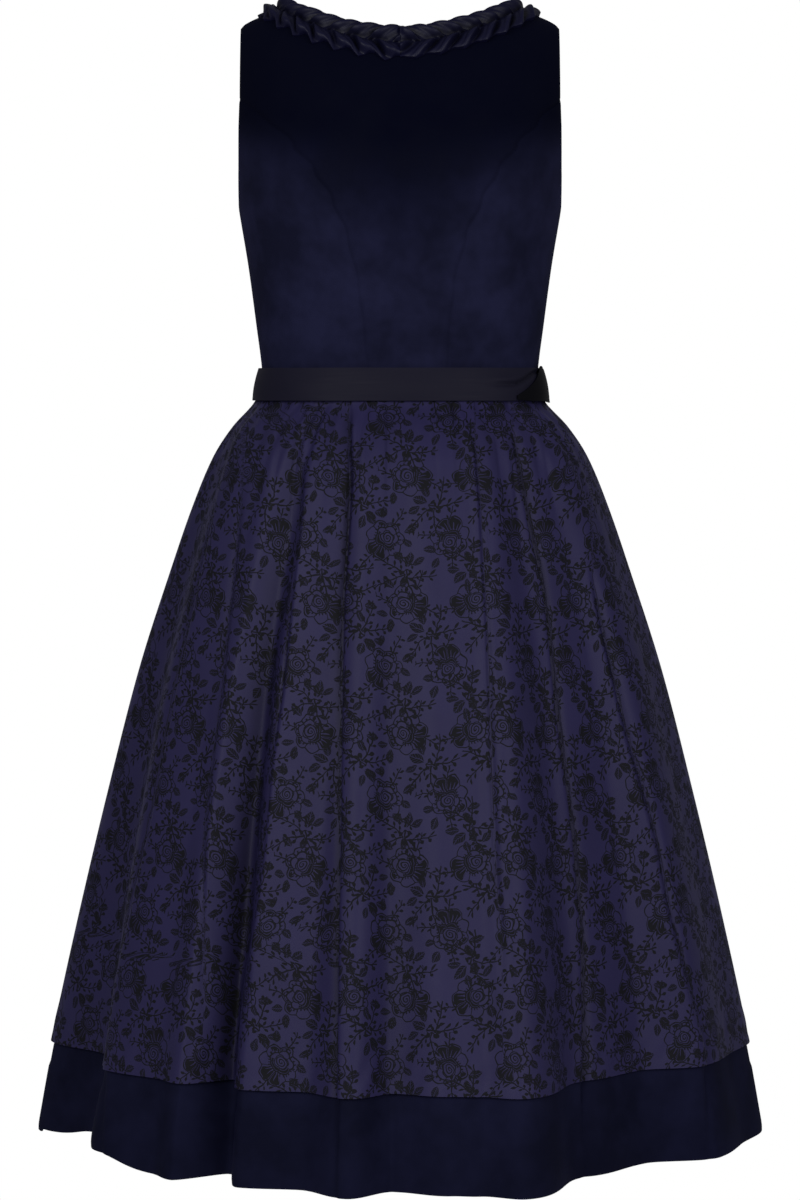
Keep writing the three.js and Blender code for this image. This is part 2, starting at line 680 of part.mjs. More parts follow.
addPiece('bodice_front_centre', bodiceFrontCentre(), NAVY_VELVET);
addPiece('bodice_front_side_left', bodiceSide(-1, FRONT_PRINCESS, 'left', false), NAVY_VELVET);
addPiece('bodice_front_side_right', bodiceSide(1, FRONT_PRINCESS, 'right', false), NAVY_VELVET);
addPiece('bodice_back_centre_left', bodiceBackCentre(-1), NAVY_VELVET);
addPiece('bodice_back_centre_right', bodiceBackCentre(1), NAVY_VELVET);
addPiece('bodice_back_side_left', bodiceSide(-1, BACK_PRINCESS, 'right', true), NAVY_VELVET);
addPiece('bodice_back_side_right', bodiceSide(1, BACK_PRINCESS, 'right', true), NAVY_VELVET);
addPiece('skirt_side_left', skirtGore('side_seam_left', 'third_hollow'), NAVY_VELVET);
addPiece('skirt_front_left', skirtGore('third_hollow', 'centre_hollow'), NAVY_VELVET);
addPiece('skirt_front_right', skirtGore('centre_hollow', 'deep_hollow'), NAVY_VELVET);
addPiece('skirt_side_right', skirtGore('deep_hollow', 'side_seam_right'), NAVY_VELVET);
addPiece('skirt_back_side_right', skirtGore('side_seam_right', 'back_hollow_2'), NAVY_VELVET);
addPiece('skirt_back_right', skirtGore('back_hollow_2', 'back_ridge_4'), NAVY_VELVET);
addPiece('skirt_back_left', skirtGore('back_ridge_4', 'back_ridge_6'), NAVY_VELVET);
addPiece('skirt_back_side_left', skirtGore('back_ridge_6', 'side_seam_left'), NAVY_VELVET);
addPiece('apron_panel', apronPanel(), ROSE_JACQUARD);
addPiece('apron_band', apronBand(), BLACK_SATIN);
addPiece('apron_tie_back', tieBack(), BLACK_SATIN);
addPiece('apron_tie_end', tieEnd(), BLACK_SATIN);
addPiece('neck_ruche_left', neckRuche(-1), RUCHED_SATIN);
addPiece('neck_ruche_right', neckRuche(1), RUCHED_SATIN);

export default group;
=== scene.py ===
# A sleeveless dirndl with its apron: velvet bodice and skirt, rose jacquard apron, satin band, neck ruche.
# The shapes are worked out in millimetres and made in metres.
# The front faces -Y, and left and right are the viewer's.
import math
import bpy
import numpy as np
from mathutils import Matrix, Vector


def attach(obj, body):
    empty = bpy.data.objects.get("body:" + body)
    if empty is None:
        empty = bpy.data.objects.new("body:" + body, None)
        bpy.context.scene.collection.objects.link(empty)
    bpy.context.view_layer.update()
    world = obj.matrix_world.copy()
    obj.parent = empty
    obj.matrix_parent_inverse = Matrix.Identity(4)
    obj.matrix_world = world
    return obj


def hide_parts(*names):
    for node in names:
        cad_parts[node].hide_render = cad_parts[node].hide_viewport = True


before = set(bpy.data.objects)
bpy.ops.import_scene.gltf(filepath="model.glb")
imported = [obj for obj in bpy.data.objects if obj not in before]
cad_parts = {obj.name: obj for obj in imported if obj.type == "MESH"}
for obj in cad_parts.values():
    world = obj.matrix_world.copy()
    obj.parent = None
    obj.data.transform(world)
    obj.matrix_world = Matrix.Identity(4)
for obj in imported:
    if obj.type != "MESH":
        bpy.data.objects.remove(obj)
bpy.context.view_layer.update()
bpy.ops.object.select_all(action="DESELECT")

MM = 0.001

# Cloth thicknesses and how the layers lie on each other
VELVET = 2.0
JACQUARD = 1.1
SATIN = 1.4
LAYER_GAP = 0.8
# Each shown sheet is a little thinner than its solid, so that layers keep apart
BODICE_CLOTH = VELVET - 0.3
SKIRT_CLOTH = VELVET - 0.4
RIBBON_CLOTH = SATIN - 0.2

# Heights of the main lines
WAIST = -362
SKIRT_HEM = -1108
APRON_HEM = -1018
UNDERARM = -182
ARMHOLE_BEND = -78

# Shoulder line and neckline
SHOULDER_TIP = 158
SHOULDER_ROUND_X = 140
SHOULDER_ROUND_Z = 4
SHOULDER_SLOPE = 0.38
SHOULDER_ROUNDING = 0.008
NECK_HALF_WIDTH = 112
FRONT_NECK = -17.5
BACK_NECK = -15
NECK_CURVE = 1.9

# Sections of the bodice: height, half width, depth before and behind the side seam
SQUARENESS = 2.3
BODICE = np.array([
    (-370, 137, 92, 88), (-345, 137, 92, 88), (-300, 142.5, 102, 94), (-240, 150.5, 117, 102),
    (-182, 160, 131, 108), (-150, 164, 134, 111), (-110, 167, 127, 113), (-78, 167, 117, 111),
    (-40, 167, 101, 103), (0, 167, 88, 93), (46, 167, 80, 86),
])

# Princess seams: height, then how far out they run
FRONT_SEAMS = np.array([
    (-362, 31, 48), (-310, 36, 49), (-260, 42, 54), (-215, 52, 65), (-182, 66, 80),
    (-152, 84, 96), (-128, 104, 114), (-104, 130, 135), (-78, 158, 158),
])
BACK_SEAMS = np.array([
    (-362, 44), (-310, 48), (-250, 56), (-200, 70), (-160, 88), (-128, 110), (-104, 132), (-78, 158),
])

# Skirt: height and half width of the cloth under the apron
SKIRT = np.array([
    (-1108, 367), (-1018, 350), (-890, 321.5), (-760, 290), (-640, 258.5), (-540, 226),
    (-477, 204), (-430, 184), (-402, 165.5), (-378, 144), (-362, 137),
])
WAIST_FRONT = 92
WAIST_BACK = 88
WAIST_SIDE = 137
HEM_SQUARENESS = 2
FRONT_FLARE = 0.87
BACK_FLARE = 0.92
FOLD_GROWTH = 0.9
FOLD_DRIFT = 0.3
GATHER_TOP = -374
GATHER_DEPTH = 1.3
GATHER_START = 20
GATHER_FADE = 60

# Folds round the skirt: angle at the waist, angle at the hem, how far it stands out at the hem
FOLDS = np.array([
    (-93, -103, -8), (-88, -93, 0), (-82, -78, -52), (-72, -61, -13), (-58, -50, -18), (-50, -43.5, -6),
    (-42, -38.8, -56), (-36, -30, -4), (-22, -19.5, -10), (-14, -9, 21), (-1, -1.5, -11), (16, 9, 9),
    (32, 14, 14), (39, 20.5, 34), (47, 39.5, -37), (56, 57, -56), (64, 68, -16), (71, 79, -19),
    (80, 93, 0), (93, 103, -8), (106, 114, 6), (118, 125, -30), (131, 136, 8), (143, 147, -24),
    (156, 158, 14), (168, 169, -18), (181, 180, 10), (194, 193, -30), (206, 204, 8), (218, 215, -34),
    (230, 228, 6), (243, 240, -22), (256, 249, 2),
])
SIDE_LEFT, APRON_LEFT, CENTRE, APRON_RIGHT, SIDE_RIGHT, CENTRE_BACK = 0, 1, 10, 18, 19, 26

# Waist ribbon
BAND_TOP = -341.5
BAND_BOTTOM = -373.5
BAND_END = 92
BAND_TOP_OUT = 3.6
BAND_BOTTOM_OUT = 9.8
FLAP = np.array([
    (48, -368.5, -372.5), (56, -361.5, -373.5), (64, -353.5, -374), (72, -343.5, -374.5),
    (77, -339.5, -375), (84, -342.5, -375.5), (93, -343.5, -375.5), (104, -345.5, -374.5),
])

# Ruche: a strip pleated into two rows of slanting leaves
RUCHE_WIDTH_CENTRE = 37
RUCHE_WIDTH_SHOULDER = 30
RUCHE_RISE = 5
RUCHE_LEAVES = 15
RUCHE_SLANT = 0.9
RUCHE_HEIGHT = 8.5
RUCHE_FLOOR = 1.5
RUCHE_UNDERSIDE = 0.35
RUCHE_TIP_LEFT = 7.5
RUCHE_TIP_RIGHT = 3.5
RUCHE_START_LEFT = 1.0
RUCHE_START_RIGHT = 1.45
ROW_OFFSET = 0.3
# Each leaf rises over this share of its length and then drops sharply
LEAF_CREST = 0.82

# Rows and columns of the sheets' grids
CENTRE_PANEL_ROWS = (70, 50)
SIDE_PANEL_ROWS = 100
PANEL_COLUMNS = 60
SKIRT_ROWS = 110
SKIRT_COLUMNS_PER_FOLD = 26
APRON_GRID = (92, 530)
RIBBON_ROWS = 26
BAND_COLUMNS = 200
TIE_COLUMNS = 180
FLAP_COLUMNS = 80
RUCHE_ROWS = 44
RUCHE_COLUMNS_PER_LEAF = 24


def smooth_table(table, column, z):
    """Value of a column at each height, on a smooth curve through the rows."""
    heights, values = table[:, 0], table[:, column]
    slopes = np.empty_like(values)
    slopes[1:-1] = (values[2:] - values[:-2]) / (heights[2:] - heights[:-2])
    slopes[0] = (values[1] - values[0]) / (heights[1] - heights[0])
    slopes[-1] = (values[-1] - values[-2]) / (heights[-1] - heights[-2])
    z = np.clip(z, heights[0], heights[-1])
    i = np.clip(np.searchsorted(heights, z, side="right") - 1, 0, len(heights) - 2)
    width = heights[i + 1] - heights[i]
    t = (z - heights[i]) / width
    start = (2 * t**3 - 3 * t**2 + 1) * values[i] + (t**3 - 2 * t**2 + t) * width * slopes[i]
    return start + (3 * t**2 - 2 * t**3) * values[i + 1] + (t**3 - t**2) * width * slopes[i + 1]


def signed_power(value, power):
    return np.sign(value) * np.abs(value) ** power


def mix(a, b, t):
    return a + (b - a) * t


def ease(t):
    t = np.clip(t, 0, 1)
    return t * t * (3 - 2 * t)


def bump(distance, width):
    return np.exp(-((distance / width) ** 2))


def shoulder_height(x):
    past = np.maximum(np.abs(x) - SHOULDER_ROUND_X, 0)
    return SHOULDER_ROUND_Z + SHOULDER_SLOPE * (SHOULDER_ROUND_X - np.abs(x)) - SHOULDER_ROUNDING * past**2


def shoulder_climb(x, z):
    return np.clip((z - ARMHOLE_BEND) / (shoulder_height(x) - ARMHOLE_BEND), 0, 1)


def bodice_point(angle, z):
    turn = np.radians(angle)
    across = signed_power(np.sin(turn), 2 / SQUARENESS)
    fore = signed_power(np.cos(turn), 2 / SQUARENESS)
    x = smooth_table(BODICE, 1, z) * across
    depth = np.where(fore >= 0, smooth_table(BODICE, 2, z), smooth_table(BODICE, 3, z))
    rounding = np.sqrt(1 - shoulder_climb(x, z) ** 2)
    return np.stack([x, -depth * fore * rounding, z + 0 * x], -1)


def bodice_angle(x, z):
    share = np.clip(np.abs(x) / smooth_table(BODICE, 1, z), 0, 1)
    return np.sign(x) * np.degrees(np.arcsin(share ** (SQUARENESS / 2)))


def surface_normal(surface, a, b, step_a, step_b):
    along_a = surface(a + step_a, b) - surface(a - step_a, b)
    along_b = surface(a, b + step_b) - surface(a, b - step_b)
    normal = np.cross(along_a, along_b)
    return normal / np.linalg.norm(normal, axis=-1, keepdims=True)


def lengths_along(points, axis):
    """Distance travelled over the cloth from the first row or column, in millimetres."""
    steps = np.linalg.norm(np.diff(points, axis=axis), axis=-1)
    start = np.zeros_like(np.take(steps, [0], axis=axis))
    return np.concatenate([start, np.cumsum(steps, axis=axis)], axis=axis)


def close_to_edges(count, crowding):
    """Shares from 0 to 1 that stand closer together at both ends."""
    t = np.linspace(0, 1, count)
    return mix(t, (1 - np.cos(np.pi * t)) / 2, crowding)


def cloth(name, nodes, outer, normal, thickness, finish, u=None, v=None):
    """Makes one closed shell of cloth from the points of its face, and puts it in the place of its solids."""
    rows, columns = outer.shape[:2]
    inner = outer - normal * np.broadcast_to(thickness, (rows, columns))[..., None]
    points = np.concatenate([outer.reshape(-1, 3), inner.reshape(-1, 3)]) * MM
    at = np.arange(rows * columns).reshape(rows, columns)
    low = at + rows * columns

    def quads(a, b, c, d):
        return np.stack([a, b, c, d], -1).reshape(-1, 4)

    faces = np.concatenate([
        quads(at[:-1, :-1], at[:-1, 1:], at[1:, 1:], at[1:, :-1]),
        quads(low[:-1, :-1], low[1:, :-1], low[1:, 1:], low[:-1, 1:]),
        quads(at[:-1, 0], at[1:, 0], low[1:, 0], low[:-1, 0]),
        quads(at[1:, -1], at[:-1, -1], low[:-1, -1], low[1:, -1]),
        quads(at[0, 1:], at[0, :-1], low[0, :-1], low[0, 1:]),
        quads(at[-1, :-1], at[-1, 1:], low[-1, 1:], low[-1, :-1]),
    ])
    middle = (rows // 2, columns // 2)
    across = outer[middle[0], middle[1] + 1] - outer[middle]
    up = outer[middle[0] + 1, middle[1]] - outer[middle]
    if np.dot(np.cross(across, up), normal[middle]) < 0:
        faces = faces[:, ::-1]
    mesh = bpy.data.meshes.new(name)
    mesh.from_pydata(points.tolist(), [], faces.tolist())
    if u is None:
        u = lengths_along(outer, 1)
    if v is None:
        v = -lengths_along(outer, 0)
    flat = np.stack([np.broadcast_to(u, (rows, columns)), np.broadcast_to(v, (rows, columns))], -1) * MM
    flat = np.concatenate([flat.reshape(-1, 2)] * 2)
    chart = mesh.uv_layers.new(name="cloth")
    corners = np.empty(len(mesh.loops), dtype=np.int32)
    mesh.loops.foreach_get("vertex_index", corners)
    chart.data.foreach_set("uv", flat[corners].ravel())
    piece = bpy.data.objects.new(name, mesh)
    bpy.context.collection.objects.link(piece)
    bpy.ops.object.select_all(action="DESELECT")
    bpy.context.view_layer.objects.active = piece
    piece.select_set(True)
    bpy.ops.object.shade_smooth_by_angle(angle=math.radians(50))
    piece.select_set(False)
    mesh.materials.append(finish)
    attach(piece, "root")
    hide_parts(*nodes)
    return piece


# Materials

def linear(hex_colour):
    """An sRGB hex colour as linear red, green, blue and alpha."""
    parts = [int(hex_colour[i:i + 2], 16) / 255 for i in (0, 2, 4)]
    return tuple(c / 12.92 if c <= 0.04045 else ((c + 0.055) / 1.055) ** 2.4 for c in parts) + (1.0,)


MATH = "ShaderNodeMath"
VECTOR_MATH = "ShaderNodeVectorMath"
NOISE = "ShaderNodeTexNoise"
RANGE = "ShaderNodeMapRange"


def fill(tree, socket, value):
    """Links a node or an output to an input, or sets the input to a value."""
    if isinstance(value, bpy.types.Node):
        value = next(s for s in value.outputs if s.enabled)
    if isinstance(value, bpy.types.NodeSocket):
        tree.links.new(value, socket)
    elif value is not None:
        socket.default_value = value


def add(tree, kind, *inputs, **settings):
    """Adds a node with its settings, and fills its first inputs in order."""
    made = tree.nodes.new(kind)
    for name, value in settings.items():
        setattr(made, name, value)
    sockets = [s for s in made.inputs if s.enabled]
    for socket, value in zip(sockets, inputs):
        fill(tree, socket, value)
    return made


def fill_named(tree, node, values):
    for name, value in values.items():
        fill(tree, node.inputs[name], value)


def new_material(name):
    made = bpy.data.materials.new(name)
    made.use_nodes = True
    tree = made.node_tree
    return made, tree, tree.nodes["Principled BSDF"]


def painted_fold_shade(tree, colour, reach, darkest):
    """Painted shade: the colour, darkened where neighbouring cloth stands close, where folds would be in
    shade.
    """
    open_sky = add(tree, "ShaderNodeAmbientOcclusion", None, reach * MM, samples=6, only_local=True)
    light = add(tree, RANGE, open_sky.outputs["AO"], 0.35, 0.95, darkest, 1.0)
    return add(tree, VECTOR_MATH, colour, light, operation="SCALE")


# Painted shade: the chest's colour is darkened above a band that runs between these two heights, in metres.
# Each height is given as its rise for each metre out from the centre front, and its place there.
CHEST_SHADE_START = (0.85, -0.29)
CHEST_SHADE_FULL = (0.15, -0.115)
CHEST_SHADE_HALF_WIDTH = 0.16
# Painted shade darkens the hem band's colour between these two heights, by this much
HEM_BAND_TOP = -0.8
HEM_BAND_BOTTOM = -1.1
PAINTED_HEM_SHADE = 0.55


def cotton_velvet(name, low_hex, high_hex, sheen):
    """Cotton velvet, with a cut pile about 1.5 mm long.

    It drinks the light that meets it face on, and glows softly where it turns away. Its colour also carries
    painted shade on the upper chest and in the hem band.
    """
    made, tree, shader = new_material(name)
    place = add(tree, "ShaderNodeTexCoord").outputs["Object"]
    # Pile pressed one way or the other, in patches up to about 60 mm across, with smaller ones in them
    patches = add(tree, NOISE, place, 17.0, 3.0, 0.62).outputs[0]
    # Tufts are 0.4 mm; drawn at 1.4 mm so that they show
    tufts = add(tree, NOISE, place, 700.0, 2.0, 0.6).outputs[0]
    split = add(tree, "ShaderNodeSeparateXYZ", place)
    height = split.outputs[2]
    # Painted shade: the chest, which leans back from the light, is painted darker, less so towards the sides
    out = add(tree, MATH, split.outputs[0], operation="ABSOLUTE")
    out = add(tree, MATH, out, CHEST_SHADE_HALF_WIDTH, operation="MINIMUM")
    below = add(tree, MATH, out, *CHEST_SHADE_START, operation="MULTIPLY_ADD")
    above = add(tree, MATH, out, *CHEST_SHADE_FULL, operation="MULTIPLY_ADD")
    chest = add(tree, RANGE, height, below, above, 0.0, 1.0, interpolation_type="SMOOTHSTEP")
    # Painted shade: the hem band is painted darker too
    hem = add(tree, RANGE, height, HEM_BAND_TOP, HEM_BAND_BOTTOM, 0.0, PAINTED_HEM_SHADE,
              interpolation_type="SMOOTHSTEP")
    shade = add(tree, MATH, chest, hem, operation="MAXIMUM")
    nap = add(tree, RANGE, patches, 0.36, 0.64)
    worn = add(tree, "ShaderNodeMix", nap, linear(low_hex), linear(high_hex), data_type="RGBA")
    # The painted shade of chest and hem darkens the velvet's colour towards near-black navy
    deep = add(tree, "ShaderNodeMix", shade, worn, linear("01020f"), data_type="RGBA")
    relief = add(tree, "ShaderNodeBump", 0.25, 0.0006)
    fill_named(tree, relief, {"Height": tufts})
    fill_named(tree, shader, {
        "Base Color": deep,
        "Roughness": add(tree, RANGE, patches, 0.3, 0.7, 0.78, 0.92),
        "Normal": relief,
        "Specular IOR Level": 0.04,
        "Sheen Weight": sheen,
        "Sheen Roughness": 0.4,
        "Sheen Tint": linear("20225c"),
    })
    return made


def ribbon_satin(name, hex_colour, roughness, thread, fold_shade_reach, gloss):
    """Polyester satin: long floats of smooth yarn give one soft, wide gloss across a near-black ground."""
    made, tree, shader = new_material(name)
    chart = add(tree, "ShaderNodeUVMap", uv_map="cloth")
    # Weft threads are 0.3 mm apart; drawn 1.2 to 1.6 mm apart so that they show
    threads = add(tree, "ShaderNodeMapping", chart, None, None, (20.0, 1.0 / (thread * MM), 1.0))
    ripple = add(tree, NOISE, threads, 1.0, 2.0, 0.5).outputs[0]
    dyed = tree.nodes.new("ShaderNodeRGB")
    dyed.outputs[0].default_value = linear(hex_colour)
    relief = add(tree, "ShaderNodeBump", 0.12, 0.0003)
    fill_named(tree, relief, {"Height": ripple})
    # The base colour carries painted shade in the folds
    fill_named(tree, shader, {
        "Base Color": painted_fold_shade(tree, dyed.outputs[0], fold_shade_reach, 0.1),
        "Roughness": add(tree, RANGE, ripple, 0.3, 0.7, roughness - 0.05, roughness + 0.07),
        "Normal": relief,
        "Specular IOR Level": gloss,
        "Sheen Weight": 0.04,
        "Sheen Tint": linear("3c3c64"),
    })
    return made


# Rose pattern of the jacquard, drawn in millimetres on a tile that repeats
TILE = 125.0
# How far every other row of squares is moved along
ROW_SHIFT = 23.0
# In units of the rose: where its heart sits, and the directions of its filled petals
HEART_PLACE = (0.14, 0.1, 0)
FAR_SIDE = (-0.77, -0.64, 0)
NEAR_SIDE = (0.34, 0.94, 0)


def new_motif(name):
    group = bpy.data.node_groups.new(name, "ShaderNodeTree")
    group.interface.new_socket("Place", in_out="INPUT", socket_type="NodeSocketVector")
    group.interface.new_socket("Thread", in_out="OUTPUT", socket_type="NodeSocketFloat")
    start = group.nodes.new("NodeGroupInput")
    end = group.nodes.new("NodeGroupOutput")
    return group, start, end


def scallops(tree, angle, petals, phase, depth, edge):
    """A ring of petals: the wave that runs round it, and its radius, round between its notches."""
    turn = add(tree, MATH, angle, petals / 2, phase, operation="MULTIPLY_ADD")
    swing = add(tree, MATH, turn, operation="COSINE")
    wave = add(tree, MATH, swing, operation="ABSOLUTE")
    return wave, add(tree, MATH, wave, depth, edge, operation="MULTIPLY_ADD")


def rose_motif():
    """A full rose, one unit in radius: a coiled heart, three rounds of petals, some of them filled."""
    tree, start, end = new_motif("rose")
    place = start.outputs[0]
    split = add(tree, "ShaderNodeSeparateXYZ", place)
    angle = add(tree, MATH, split.outputs[1], split.outputs[0], operation="ARCTAN2")
    radius = add(tree, VECTOR_MATH, place, operation="LENGTH")
    heart_place = add(tree, VECTOR_MATH, place, HEART_PLACE, operation="SUBTRACT")
    heart_split = add(tree, "ShaderNodeSeparateXYZ", heart_place)
    heart_angle = add(tree, MATH, heart_split.outputs[1], heart_split.outputs[0], operation="ARCTAN2")
    heart_radius = add(tree, VECTOR_MATH, heart_place, operation="LENGTH")
    outer_wave, outer = scallops(tree, angle, 7, 0.4, 0.16, 0.84)
    middle_wave, middle = scallops(tree, heart_angle, 5, 0.9, 0.1, 0.5)
    inner = scallops(tree, heart_angle, 4, 0.2, 0.06, 0.3)[1]
    # The petals reach further out on the far side of the heart
    lean = add(tree, VECTOR_MATH, place, FAR_SIDE, operation="DOT_PRODUCT")
    facing = add(tree, MATH, lean, radius, operation="DIVIDE")
    stands_out = add(tree, MATH, facing, 0.74, operation="SUBTRACT")
    stands_out = add(tree, MATH, stands_out, 0.0, operation="MAXIMUM")
    outer = add(tree, MATH, stands_out, 0.6, outer, operation="MULTIPLY_ADD")
    beyond = add(tree, MATH, heart_radius, middle, operation="GREATER_THAN")
    outline = add(tree, MATH, radius, outer, 0.03, operation="COMPARE")
    second = add(tree, MATH, heart_radius, middle, 0.036, operation="COMPARE")
    third = add(tree, MATH, heart_radius, inner, 0.026, operation="COMPARE")
    # The heart coils like a spring
    turns = add(tree, MATH, heart_angle, 1 / (2 * math.pi), operation="MULTIPLY")
    coil = add(tree, MATH, heart_radius, 7.5, turns, operation="MULTIPLY_ADD")
    coil = add(tree, MATH, coil, operation="FRACT")
    coil = add(tree, MATH, coil, 0.42, operation="LESS_THAN")
    in_heart = add(tree, MATH, heart_radius, inner, operation="LESS_THAN")
    coil = add(tree, MATH, coil, in_heart, operation="MULTIPLY")
    # Notches part the petals
    notch = add(tree, MATH, outer_wave, 0.1, operation="LESS_THAN")
    notch = add(tree, MATH, notch, beyond, operation="MULTIPLY")
    fold = add(tree, MATH, middle_wave, 0.12, operation="LESS_THAN")
    in_middle = add(tree, MATH, heart_radius, middle, operation="LESS_THAN")
    past_heart = add(tree, MATH, heart_radius, inner, operation="GREATER_THAN")
    in_ring = add(tree, MATH, in_middle, past_heart, operation="MULTIPLY")
    fold = add(tree, MATH, fold, in_ring, operation="MULTIPLY")
    # Filled petals lie on the far side of the heart, parted by light edges, and one lies across from them
    far_side = add(tree, MATH, facing, 0.8, operation="GREATER_THAN")
    across = add(tree, VECTOR_MATH, place, NEAR_SIDE, operation="DOT_PRODUCT")
    near_edge = add(tree, MATH, radius, 0.84, operation="MULTIPLY")
    near_side = add(tree, MATH, across, near_edge, operation="GREATER_THAN")
    petal_core = add(tree, MATH, outer_wave, 0.2, operation="GREATER_THAN")
    filled = add(tree, MATH, far_side, near_side, operation="MAXIMUM")
    past_root = add(tree, MATH, middle, 0.1, operation="ADD")
    past_root = add(tree, MATH, past_root, heart_radius, operation="LESS_THAN")
    inside_edge = add(tree, MATH, radius, 0.07, operation="ADD")
    inside_edge = add(tree, MATH, inside_edge, outer, operation="LESS_THAN")
    # Light veins run out from the root of a filled petal
    ray = add(tree, MATH, angle, 23.0, operation="MULTIPLY")
    ray = add(tree, MATH, ray, operation="SINE")
    vein_edge = add(tree, MATH, radius, 1.5, -0.25, operation="MULTIPLY_ADD")
    veins = add(tree, MATH, ray, vein_edge, operation="GREATER_THAN")
    between_veins = add(tree, MATH, 1.0, veins, operation="SUBTRACT")
    for mask in (petal_core, past_root, inside_edge, between_veins):
        filled = add(tree, MATH, filled, mask, operation="MULTIPLY")
    # A dark crescent cups the heart
    cup = add(tree, VECTOR_MATH, heart_place, FAR_SIDE, operation="DOT_PRODUCT")
    cup_side = add(tree, MATH, heart_radius, 0.2, operation="MULTIPLY")
    cup = add(tree, MATH, cup, cup_side, operation="GREATER_THAN")
    cup_inside = add(tree, MATH, inner, 0.06, operation="ADD")
    cup_inside = add(tree, MATH, cup_inside, heart_radius, operation="LESS_THAN")
    cup_outside = add(tree, MATH, heart_radius, 0.06, operation="ADD")
    cup_outside = add(tree, MATH, cup_outside, middle, operation="LESS_THAN")
    for mask in (cup_inside, cup_outside):
        cup = add(tree, MATH, cup, mask, operation="MULTIPLY")
    filled = add(tree, MATH, filled, cup, operation="MAXIMUM")
    # Short strokes shade the light petals at their roots
    strokes = add(tree, MATH, angle, 24.0, operation="MULTIPLY")
    strokes = add(tree, MATH, strokes, operation="SINE")
    strokes = add(tree, MATH, strokes, 0.35, operation="GREATER_THAN")
    root = add(tree, MATH, middle, 0.13, operation="ADD")
    root = add(tree, MATH, heart_radius, root, operation="LESS_THAN")
    root = add(tree, MATH, root, beyond, operation="MULTIPLY")
    strokes = add(tree, MATH, strokes, root, operation="MULTIPLY")
    total = outline
    for mark in (second, third, coil, fold, notch, filled, strokes):
        total = add(tree, MATH, total, mark, operation="MAXIMUM")
    room = add(tree, MATH, outer, 0.04, operation="ADD")
    room = add(tree, MATH, room, radius, operation="GREATER_THAN")
    fill(tree, end.inputs[0], add(tree, MATH, total, room, operation="MULTIPLY"))
    return tree


def leaf_motif():
    """A pointed leaf, one unit from its middle to its tip, with a light rib and slanting veins."""
    tree, start, end = new_motif("leaf")
    split = add(tree, "ShaderNodeSeparateXYZ", start.outputs[0])
    x, y = split.outputs[0], split.outputs[1]
    side = add(tree, MATH, y, operation="ABSOLUTE")
    square = add(tree, MATH, x, x, operation="MULTIPLY")
    edge = add(tree, MATH, square, -0.55, 0.55, operation="MULTIPLY_ADD")
    body = add(tree, MATH, side, edge, operation="LESS_THAN")
    rib = add(tree, MATH, side, 0.035, operation="GREATER_THAN")
    vein = add(tree, MATH, side, -1.1, x, operation="MULTIPLY_ADD")
    vein = add(tree, MATH, vein, 2.7, operation="MULTIPLY")
    vein = add(tree, MATH, vein, operation="FRACT")
    vein = add(tree, MATH, vein, 0.14, operation="GREATER_THAN")
    total = add(tree, MATH, body, rib, operation="MULTIPLY")
    fill(tree, end.inputs[0], add(tree, MATH, total, vein, operation="MULTIPLY"))
    return tree


def sprig_motif():
    """A thin bent stem, one unit long, with small pointed leaves in pairs."""
    tree, start, end = new_motif("sprig")
    split = add(tree, "ShaderNodeSeparateXYZ", start.outputs[0])
    x, y = split.outputs[0], split.outputs[1]
    square = add(tree, MATH, x, x, operation="MULTIPLY")
    bent = add(tree, MATH, square, -0.28, y, operation="MULTIPLY_ADD")
    side = add(tree, MATH, bent, operation="ABSOLUTE")
    begun = add(tree, MATH, x, 0.0, operation="GREATER_THAN")
    ended = add(tree, MATH, x, 1.0, operation="LESS_THAN")
    along = add(tree, MATH, begun, ended, operation="MULTIPLY")
    stem = add(tree, MATH, side, 0.021, operation="LESS_THAN")
    # Four pairs of leaves slant forward from the stem
    cell = add(tree, MATH, x, 4.0, operation="MULTIPLY")
    cell = add(tree, MATH, cell, operation="FRACT")
    cell = add(tree, MATH, cell, 0.25, operation="MULTIPLY")
    forward = add(tree, MATH, side, 0.77, operation="MULTIPLY")
    forward = add(tree, MATH, cell, 0.64, forward, operation="MULTIPLY_ADD")
    sideways = add(tree, MATH, side, 0.64, operation="MULTIPLY")
    sideways = add(tree, MATH, cell, -0.77, sideways, operation="MULTIPLY_ADD")
    reach = add(tree, MATH, forward, 0.155, operation="SUBTRACT")
    reach = add(tree, MATH, reach, 11.5, operation="MULTIPLY")
    reach = add(tree, MATH, reach, reach, operation="MULTIPLY")
    width = add(tree, MATH, reach, -0.044, 0.044, operation="MULTIPLY_ADD")
    off = add(tree, MATH, sideways, operation="ABSOLUTE")
    leaf = add(tree, MATH, off, width, operation="LESS_THAN")
    stalk = add(tree, MATH, off, 0.013, operation="LESS_THAN")
    near_stem = add(tree, MATH, forward, 0.14, operation="LESS_THAN")
    stalk = add(tree, MATH, stalk, near_stem, operation="MULTIPLY")
    total = add(tree, MATH, stem, leaf, operation="MAXIMUM")
    total = add(tree, MATH, total, stalk, operation="MAXIMUM")
    fill(tree, end.inputs[0], add(tree, MATH, total, along, operation="MULTIPLY"))
    return tree


# Half the width of a rose, in millimetres
ROSE_SIZE = 19.0
# What grows round each rose, and in the spaces between four roses.
# Each has its middle and its size in millimetres, and its turn in degrees.
ROSE_LEAVES = [((27, 5), 6.8, 14), ((20, -8), 6.2, -48), ((-9, 25), 6.8, 140), ((4, 26), 6.2, 66)]
ROSE_SPRIGS = [((12, 13), 26, 38), ((-13, -12), 26, -160), ((8, -16), 24, -60)]
SPACE_LEAVES = [((9, -9), 8.0, -40), ((16, -1), 6.5, 15), ((2, -16), 6.5, -88)]
SPACE_SPRIGS = [((2, -2), 33, 160), ((-3, 1), 32, 75), ((-5, 2), 30, -130), ((3, 3), 27, 25)]


